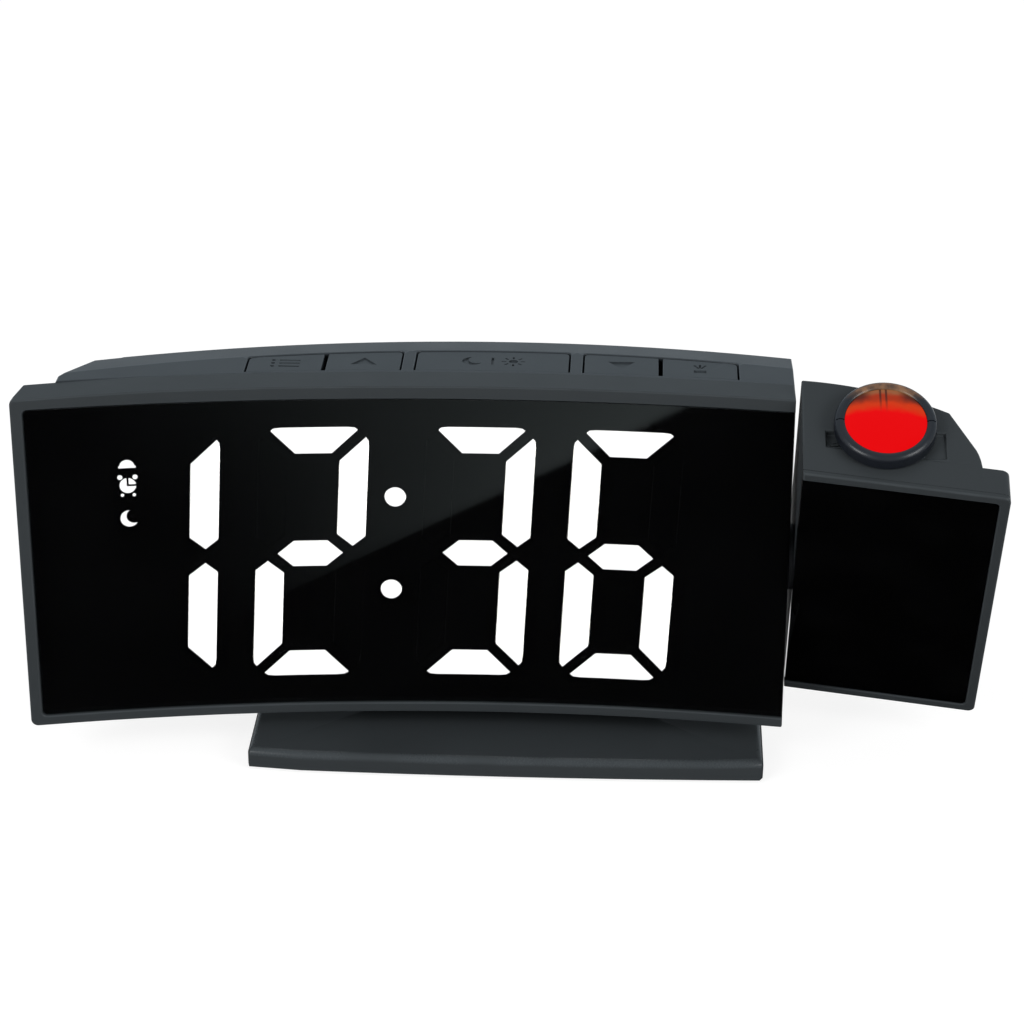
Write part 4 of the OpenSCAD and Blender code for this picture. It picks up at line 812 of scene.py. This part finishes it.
class CLOCK_OT_optics(bpy.types.Operator):
    """Focus ring, lit lens and the optics under them"""

    bl_idname = "clock.optics"
    bl_label = "Projector optics"

    def execute(self, context):
        head = look("clock_head")
        self.ring(head)
        self.lens(head)
        black = moulded("optics_black", (0.07, 0.07, 0.075), 0.5)
        dress(black, "lens_tube", "lens_cell", "optics_housing", edge=0.1 * MM)
        dress(polished("lcd_black", (0.03, 0.03, 0.04), 0.08), "lcd_slide")
        dress(polished("clear_lens", (0.95, 0.97, 0.97), 0.02, Alpha=0.6, IOR=1.49),
              "condenser_lens")
        dress(glowing("projector_light", head.lens, 2.0, (0.8, 0.05, 0.05)), "projector_led")
        return {"FINISHED"}

    def ring(self, head):
        """The focus ring: a rounded collar whose top falls in towards the lens."""
        points = [v.co for v in frame["nodes"]["focus_ring"].data.vertices]
        heights, radii = [ring_height(p) for p in points], [lens_radius(p) for p in points]
        base, top, tube_r, r = min(heights), max(heights), min(radii), max(radii)
        step = base + 1.25 * MM
        hole, soft, foot = head.hole_r, head.ring_edge, 0.3 * MM
        brim, brim_drop, hole_drop = 0.12 * MM, 0.22 * MM, 0.36 * MM
        arc = [(r - soft + soft * math.sin(a), top - soft + soft * math.cos(a))
               for a in (math.radians(d) for d in range(90, -1, -10))]
        profile = [(tube_r, base), (r - foot, base), (r, base + foot), *arc,
                   (hole + brim, top - brim_drop), (hole, top - hole_drop),
                   (hole, step), (tube_r, step)]
        bm = turned(profile, 128)
        self.notches(bm, hole, top)
        bm.transform(lens_frame())
        piece_from(bm, "focus_collar_ring", "focus_collar", self.ring_plastic(r),
                   "focus_ring", smooth=40)

    def ring_plastic(self, radius):
        """Dark, glossier plastic with a painted brown glow along its far inner half, where the
        lens lights it.
        """
        finish = Finish("ring_plastic", (0.09, 0.102, 0.125), 0.3, Specular_IOR_Level=0.3)
        fine = finish.noise(0.3 * MM, 3)
        finish.feed("Roughness", finish.ramp(fine, 0.26, 0.34))
        finish.bump(fine, 0.008 * MM, 0.5)
        # Painted glow of the lens's light on the ring's far inner half
        back = finish.along(RING_BASE, HEAD_BACK)
        side = finish.along(RING_BASE, HEAD_RIGHT)
        reach = finish.maths("SQRT", finish.maths("ADD", finish.maths("MULTIPLY", back, back),
                                                  finish.maths("MULTIPLY", side, side)))
        inner = finish.ramp(reach, 1, 0, radius - 0.9 * MM, radius - 0.35 * MM, smooth=True)
        far = finish.ramp(back, 0, 1, 4.6 * MM, 7.2 * MM, smooth=True)
        clouds = finish.ramp(finish.noise(1.6 * MM, 2), 0.35, 1.0, 0.35, 0.65)
        glow = finish.maths("MULTIPLY", finish.maths("MULTIPLY", inner, far), clouds)
        finish.set("Emission Color", linear((0.56, 0.4, 0.26)))
        finish.feed("Emission Strength", finish.maths("MULTIPLY", glow, 0.8))
        return finish.material

    def notches(self, bm, hole, top):
        """Cuts a fine line across the ring's top, left and right."""
        half, wall, cut, brow = 0.14 * MM, 0.01 * MM, 0.2 * MM, 0.7 * MM
        for side in (-half, half):
            bisect(bm, (0, side, 0), (0, 1, 0))
        middles = {f: f.calc_center_median() for f in bm.faces if f.normal.z > 0.6}
        line = [f for f, p in middles.items()
                if abs(p.y) < half and p.z > top - brow and abs(p.x) > hole]
        bmesh.ops.inset_region(bm, faces=line, thickness=wall, depth=-cut, use_even_offset=True)

    def lens(self, head):
        """The lit lens: a low dome, red in front and with a painted brown glow at its back."""
        base = min(ring_height(v.co) for v in frame["nodes"]["projection_lens"].data.vertices)
        dome_r = head.hole_r - 0.05 * MM
        dome_h = 0.8 * MM
        steps = 14
        ball = (dome_r ** 2 + dome_h ** 2) / (2 * dome_h)
        top = math.asin(dome_r / ball)
        arc = [(ball * math.sin(top * i / steps), base + dome_h - ball
                + ball * math.cos(top * i / steps)) for i in range(steps, -1, -1)]
        bm = turned([(0, base), *arc], 96)
        bm.transform(lens_frame())
        finish = Finish("red_lens", head.lens, 0.12, Specular_IOR_Level=0.05)
        finish.set("Base Color", (0.02, 0.0, 0.0, 1.0))
        finish.set("Emission Strength", head.glow)
        finish.feed("Emission Color", self.lens_shade(finish, linear(head.lens)))
        piece_from(bm, "lit_lens", "lens_carriage", finish.material, "projection_lens",
                   smooth=60)

    def lens_shade(self, finish, red):
        """Red, then a painted orange and brown glow to the back, two thin dark ribs, and painted
        shade at the back's sides.
        """
        back = finish.along(RING_BASE, HEAD_BACK)
        side = finish.along(RING_BASE, HEAD_RIGHT)
        off_middle = finish.maths("ABSOLUTE", side)
        bow = 18.0
        cloud = 0.8 * MM
        ribs = (-0.9 * MM, 0.2 * MM)
        # Painted glow towards the back: colour, its full share, and the depths where it starts
        # and is full
        layers = (((0.8, 0.22, 0.08), 1.0, 1.6 * MM, 3.8 * MM),
                  ((0.62, 0.2, 0.1), 1.0, 3.6 * MM, 5.2 * MM),
                  ((0.55, 0.38, 0.25), 0.8, 5.6 * MM, 7.0 * MM))
        dark = linear((0.2, 0.14, 0.12))
        cloudy = finish.ramp(finish.noise(2.4 * MM, 2), -cloud, cloud)
        bowed = finish.maths("MULTIPLY", finish.maths("MULTIPLY", side, side), bow)
        depth = finish.maths("ADD", finish.maths("ADD", back, bowed), cloudy)
        shade = red
        for colour, share, start, full in layers:
            amount = finish.ramp(depth, 0, share, start, full, smooth=True)
            shade = finish.mix(amount, shade, linear(colour))
        # Painted shade towards the back, on either side of the middle
        painted_side_shade = finish.maths("MULTIPLY",
                             finish.ramp(depth, 0, 1, 4.2 * MM, 5.8 * MM, smooth=True),
                             finish.ramp(off_middle, 0, 0.85, 2.0 * MM, 4.4 * MM, smooth=True))
        shade = finish.mix(painted_side_shade, shade, dark)
        for place in ribs:
            gap = finish.maths("ABSOLUTE", finish.maths("SUBTRACT", side, place))
            rib = finish.ramp(gap, 1, 0, 0.1 * MM, 0.3 * MM, smooth=True)
            deep = finish.ramp(back, 0.0, 0.85, 1.0 * MM, 6.4 * MM, smooth=True)
            shade = finish.mix(finish.maths("MULTIPLY", rib, deep), shade, dark)
        return shade


class CLOCK_OT_swivel(bpy.types.Operator):
    """Bush, shaft, washer, ring and the cable through them"""

    bl_idname = "clock.swivel"
    bl_label = "Swivel"

    def execute(self, context):
        steel = metal("shaft_steel", (0.7, 0.71, 0.73), 0.25)
        brass = metal("bush_brass", (0.79, 0.65, 0.37), 0.28)
        black = moulded("swivel_black", (0.12, 0.125, 0.135), 0.45)
        dress(steel, "swivel_shaft", "retaining_ring", edge=0.1 * MM)
        dress(brass, "swivel_bush", "friction_washer", edge=0.1 * MM)
        dress(black, "swivel_spacer", "projector_cable", edge=0.1 * MM)
        return {"FINISHED"}


class CLOCK_OT_stand(bpy.types.Operator):
    """Stand plate with its rounded lip, and its rubber feet"""

    bl_idname = "clock.stand"
    bl_label = "Stand"

    def execute(self, context):
        case = look("clock_case")
        plastic = moulded("stand_plastic", case.casing, case.roughness - 0.08, specular=0.2)
        bm = copy_of("stand_base")
        front, rim, slack = 6 * MM, 4 * MM, 0.05 * MM
        plate_top = max(v.co.z for v in bm.verts if v.co.y < STAND_LOW.y + slack)

        def top_edge(edge):
            p = middle_of(edge)
            return abs(p.z - plate_top) < slack and (
                p.y < STAND_LOW.y + front or p.y > STAND_HIGH.y - rim
                or abs(p.x) > STAND_HIGH.x - rim)

        self.ease_corners(bm)
        self.clear_rim(bm, plate_top)
        round_edges(bm, case.stand_edge, top_edge, segments=7)
        piece_from(bm, "stand_plate", "clock", plastic, "stand_base")
        rubber = moulded("foot_rubber", (0.11, 0.11, 0.115), 0.8, grain=0.2 * MM,
                         depth=0.02 * MM)
        dress(rubber, "rubber_feet", edge=0.2 * MM)
        return {"FINISHED"}

    def ease_corners(self, bm):
        """Joins the short steps of the two front corners, so that their rounding can't fold."""
        step = 1.0 * MM
        reach_x, reach_y = STAND_HIGH.x - 3.5 * MM, STAND_LOW.y + 5 * MM
        corners = [v for v in bm.verts if v.co.y < reach_y and abs(v.co.x) > reach_x]
        bmesh.ops.remove_doubles(bm, verts=corners, dist=step)

    def clear_rim(self, bm, plate_top):
        """Leaves no flat seams in the top near its outline but four straight ones."""
        margin = 4.6 * MM
        front, back = STAND_LOW.y + margin, STAND_HIGH.y - margin
        side = STAND_HIGH.x - margin
        for y in (front, back):
            bisect(bm, (0, y, 0), (0, 1, 0))
        for x in (-side, side):
            bisect(bm, (x, 0, 0), (1, 0, 0))

        def spare(edge):
            p = middle_of(edge)
            on_cut = min(abs(p.y - front), abs(p.y - back), abs(abs(p.x) - side)) < NEAR
            return (abs(p.z - plate_top) < NEAR and edge.calc_face_angle(0) < 0.001
                    and not on_cut and (p.y < front or p.y > back or abs(p.x) > side))

        bmesh.ops.dissolve_edges(bm, edges=[e for e in bm.edges if spare(e)], use_verts=True)


class CLOCK_OT_fasteners(bpy.types.Operator):
    """Screws of the casing, the head and the stand"""

    bl_idname = "clock.fasteners"
    bl_label = "Fasteners"

    def execute(self, context):
        steel = metal("screw_steel", (0.55, 0.56, 0.58), 0.32)
        dress(steel, "housing_screws", "head_screws", "stand_screws", edge=0.06 * MM)
        return {"FINISHED"}


class CLOCK_OT_stage(bpy.types.Operator):
    """Camera, floor, light and the dark card in front"""

    bl_idname = "clock.stage"
    bl_label = "Stage"

    def execute(self, context):
        stage = look("clock_stage")
        self.camera(stage)
        self.floor(stage)
        self.card()
        self.world(stage)
        for name, place, size, power in LAMPS:
            soft_light(name, Vector(place), size, power)
        context.scene.view_settings.view_transform = "Standard"
        return {"FINISHED"}

    def camera(self, stage):
        a, e = stage.azimuth, stage.elevation
        back = Vector((math.sin(a) * math.cos(e), -math.cos(a) * math.cos(e), math.sin(e)))
        target = Vector((0.9, -4.3, 53.34)) * MM
        data = bpy.data.cameras.new("front_view")
        data.lens = stage.focal
        data.sensor_width = 36
        data.clip_start = 0.05
        camera = bpy.data.objects.new("front_view", data)
        bpy.context.scene.collection.objects.link(camera)
        camera.location = target + back * stage.distance
        turn = (-back).to_track_quat("-Z", "Y").to_matrix().to_4x4()
        camera.matrix_world = (Matrix.Translation(camera.location) @ turn
                               @ Matrix.Rotation(stage.roll, 4, "Z"))
        bpy.context.scene.camera = camera

    def floor(self, stage):
        bm = bmesh.new()
        bmesh.ops.create_grid(bm, x_segments=1, y_segments=1, size=4.0)
        finish = Finish("floor_white", stage.floor, 0.6)
        add_backdrop_light(finish, 0.7)
        linked(bm, "floor", finish.material)

    def card(self):
        """A dark card on the floor in front, which only the gloss sees.

        Its sheen grows to the right and ends at a circle, so that the window shows one arc.
        """
        half_width, depth_share = 0.5, 0.53
        middle_y, lift = -0.235, 0.5 * MM
        centre, radius, blur = Vector((-193.2, -207.9, 0.5)) * MM, 203.0 * MM, 0.6 * MM
        left, right, steepness, strength = -53 * MM, 6 * MM, 1.9, 0.96
        bm = bmesh.new()
        bmesh.ops.create_grid(bm, x_segments=1, y_segments=1, size=half_width)
        bmesh.ops.scale(bm, vec=(1, depth_share, 1), verts=bm.verts)
        bmesh.ops.translate(bm, vec=(0, middle_y, lift), verts=bm.verts)
        finish = Finish("card_sheen", (0.0, 0.0, 0.0), 1.0, Specular_IOR_Level=0.0)
        split = finish.node("ShaderNodeSeparateXYZ")
        finish.links.new(finish.place, split.inputs[0])
        away = finish.node("ShaderNodeVectorMath", operation="DISTANCE")
        away.inputs[1].default_value = centre
        finish.links.new(finish.place, away.inputs[0])
        lit = finish.ramp(away.outputs["Value"], 1, 0, radius - blur, radius + blur, smooth=True)
        rise = finish.ramp(split.outputs["X"], 0, 1, left, right)
        sheen = finish.maths("MULTIPLY", finish.maths("POWER", rise, steepness), lit)
        finish.set("Emission Color", linear((0.93, 1.0, 1.0)))
        finish.feed("Emission Strength", finish.maths("MULTIPLY", sheen, strength))
        card = linked(bm, "front_card", finish.material)
        for ray in ("camera", "diffuse", "transmission", "shadow", "volume_scatter"):
            setattr(card, f"visible_{ray}", False)

    def world(self, stage):
        world = bpy.data.worlds.new("studio")
        bpy.context.scene.world = world
        world.use_nodes = True
        nodes, links = world.node_tree.nodes, world.node_tree.links
        back = nodes["Background"]
        rays = nodes.new("ShaderNodeLightPath")
        seen = nodes.new("ShaderNodeMath")
        seen.operation = "MAXIMUM"
        links.new(rays.outputs["Is Camera Ray"], seen.inputs[0])
        links.new(rays.outputs["Is Transmission Ray"], seen.inputs[1])
        mirrored = nodes.new("ShaderNodeMapRange")
        mirrored.inputs["To Min"].default_value = stage.ambient
        mirrored.inputs["To Max"].default_value = stage.gloss
        links.new(rays.outputs["Is Glossy Ray"], mirrored.inputs["Value"])
        level = nodes.new("ShaderNodeMix")
        level.data_type = "FLOAT"
        links.new(seen.outputs[0], level.inputs[0])
        links.new(mirrored.outputs["Result"], level.inputs[2])
        level.inputs[3].default_value = 1.0
        links.new(level.outputs[0], back.inputs["Strength"])
        tone = nodes.new("ShaderNodeMix")
        tone.data_type = "RGBA"
        tone.inputs[6].default_value = (1, 1, 1, 1)
        tone.inputs[7].default_value = (*stage.sky, 1)
        links.new(rays.outputs["Is Glossy Ray"], tone.inputs[0])
        links.new(tone.outputs[2], back.inputs["Color"])


def add_backdrop_light(finish, share):
    """Lets a pale surface glow for camera, gloss and glass rays, so that it reads white."""
    level = 1.18
    rays = finish.node("ShaderNodeLightPath")
    seen = finish.maths("MAXIMUM", rays.outputs["Is Camera Ray"],
                        rays.outputs["Is Transmission Ray"])
    seen = finish.maths("MAXIMUM", seen, rays.outputs["Is Glossy Ray"])
    glow = finish.node("ShaderNodeEmission")
    glow.inputs["Strength"].default_value = level
    mixer = finish.node("ShaderNodeMixShader")
    finish.links.new(finish.maths("MULTIPLY", seen, share), mixer.inputs[0])
    finish.links.new(finish.shader.outputs[0], mixer.inputs[1])
    finish.links.new(glow.outputs[0], mixer.inputs[2])
    finish.links.new(mixer.outputs[0], finish.output.inputs["Surface"])


def soft_light(name, place, size, power):
    """A square area light that faces the clock's middle."""
    data = bpy.data.lights.new(name, "AREA")
    data.shape = "SQUARE"
    data.size = size
    data.energy = power
    light = bpy.data.objects.new(name, data)
    bpy.context.scene.collection.objects.link(light)
    aim = (CAD_LOW + CAD_HIGH) / 2 - place
    turn = aim.to_track_quat("-Z", "Y").to_matrix().to_4x4()
    light.matrix_world = Matrix.Translation(place) @ turn


class CLOCK_PT_panel(bpy.types.Panel):
    """Lists the clock's pieces in the sidebar"""

    bl_label = "Alarm Clock"
    bl_idname = "CLOCK_PT_panel"
    bl_space_type = "VIEW_3D"
    bl_region_type = "UI"
    bl_category = "Alarm Clock"

    def draw(self, context):
        for operator in OPERATORS:
            self.layout.operator(operator.bl_idname)
        for name, group in LOOKS.items():
            box = self.layout.box()
            for field in group.__annotations__:
                box.prop(getattr(context.scene, name), field)


OPERATORS = (CLOCK_OT_stage, CLOCK_OT_casing, CLOCK_OT_display, CLOCK_OT_module, CLOCK_OT_keys,
             CLOCK_OT_head, CLOCK_OT_optics, CLOCK_OT_swivel, CLOCK_OT_stand,
             CLOCK_OT_fasteners)


def register():
    for kind in (*LOOKS.values(), *OPERATORS, CLOCK_PT_panel):
        bpy.utils.register_class(kind)
    for name, group in LOOKS.items():
        setattr(bpy.types.Scene, name, PointerProperty(type=group))


def unregister():
    for name in LOOKS:
        delattr(bpy.types.Scene, name)
    for kind in reversed((*LOOKS.values(), *OPERATORS, CLOCK_PT_panel)):
        bpy.utils.unregister_class(kind)


def main():
    register()
    for operator in OPERATORS:
        group, name = operator.bl_idname.split(".")
        getattr(getattr(bpy.ops, group), name)()


if __name__ == "__main__":
    main()
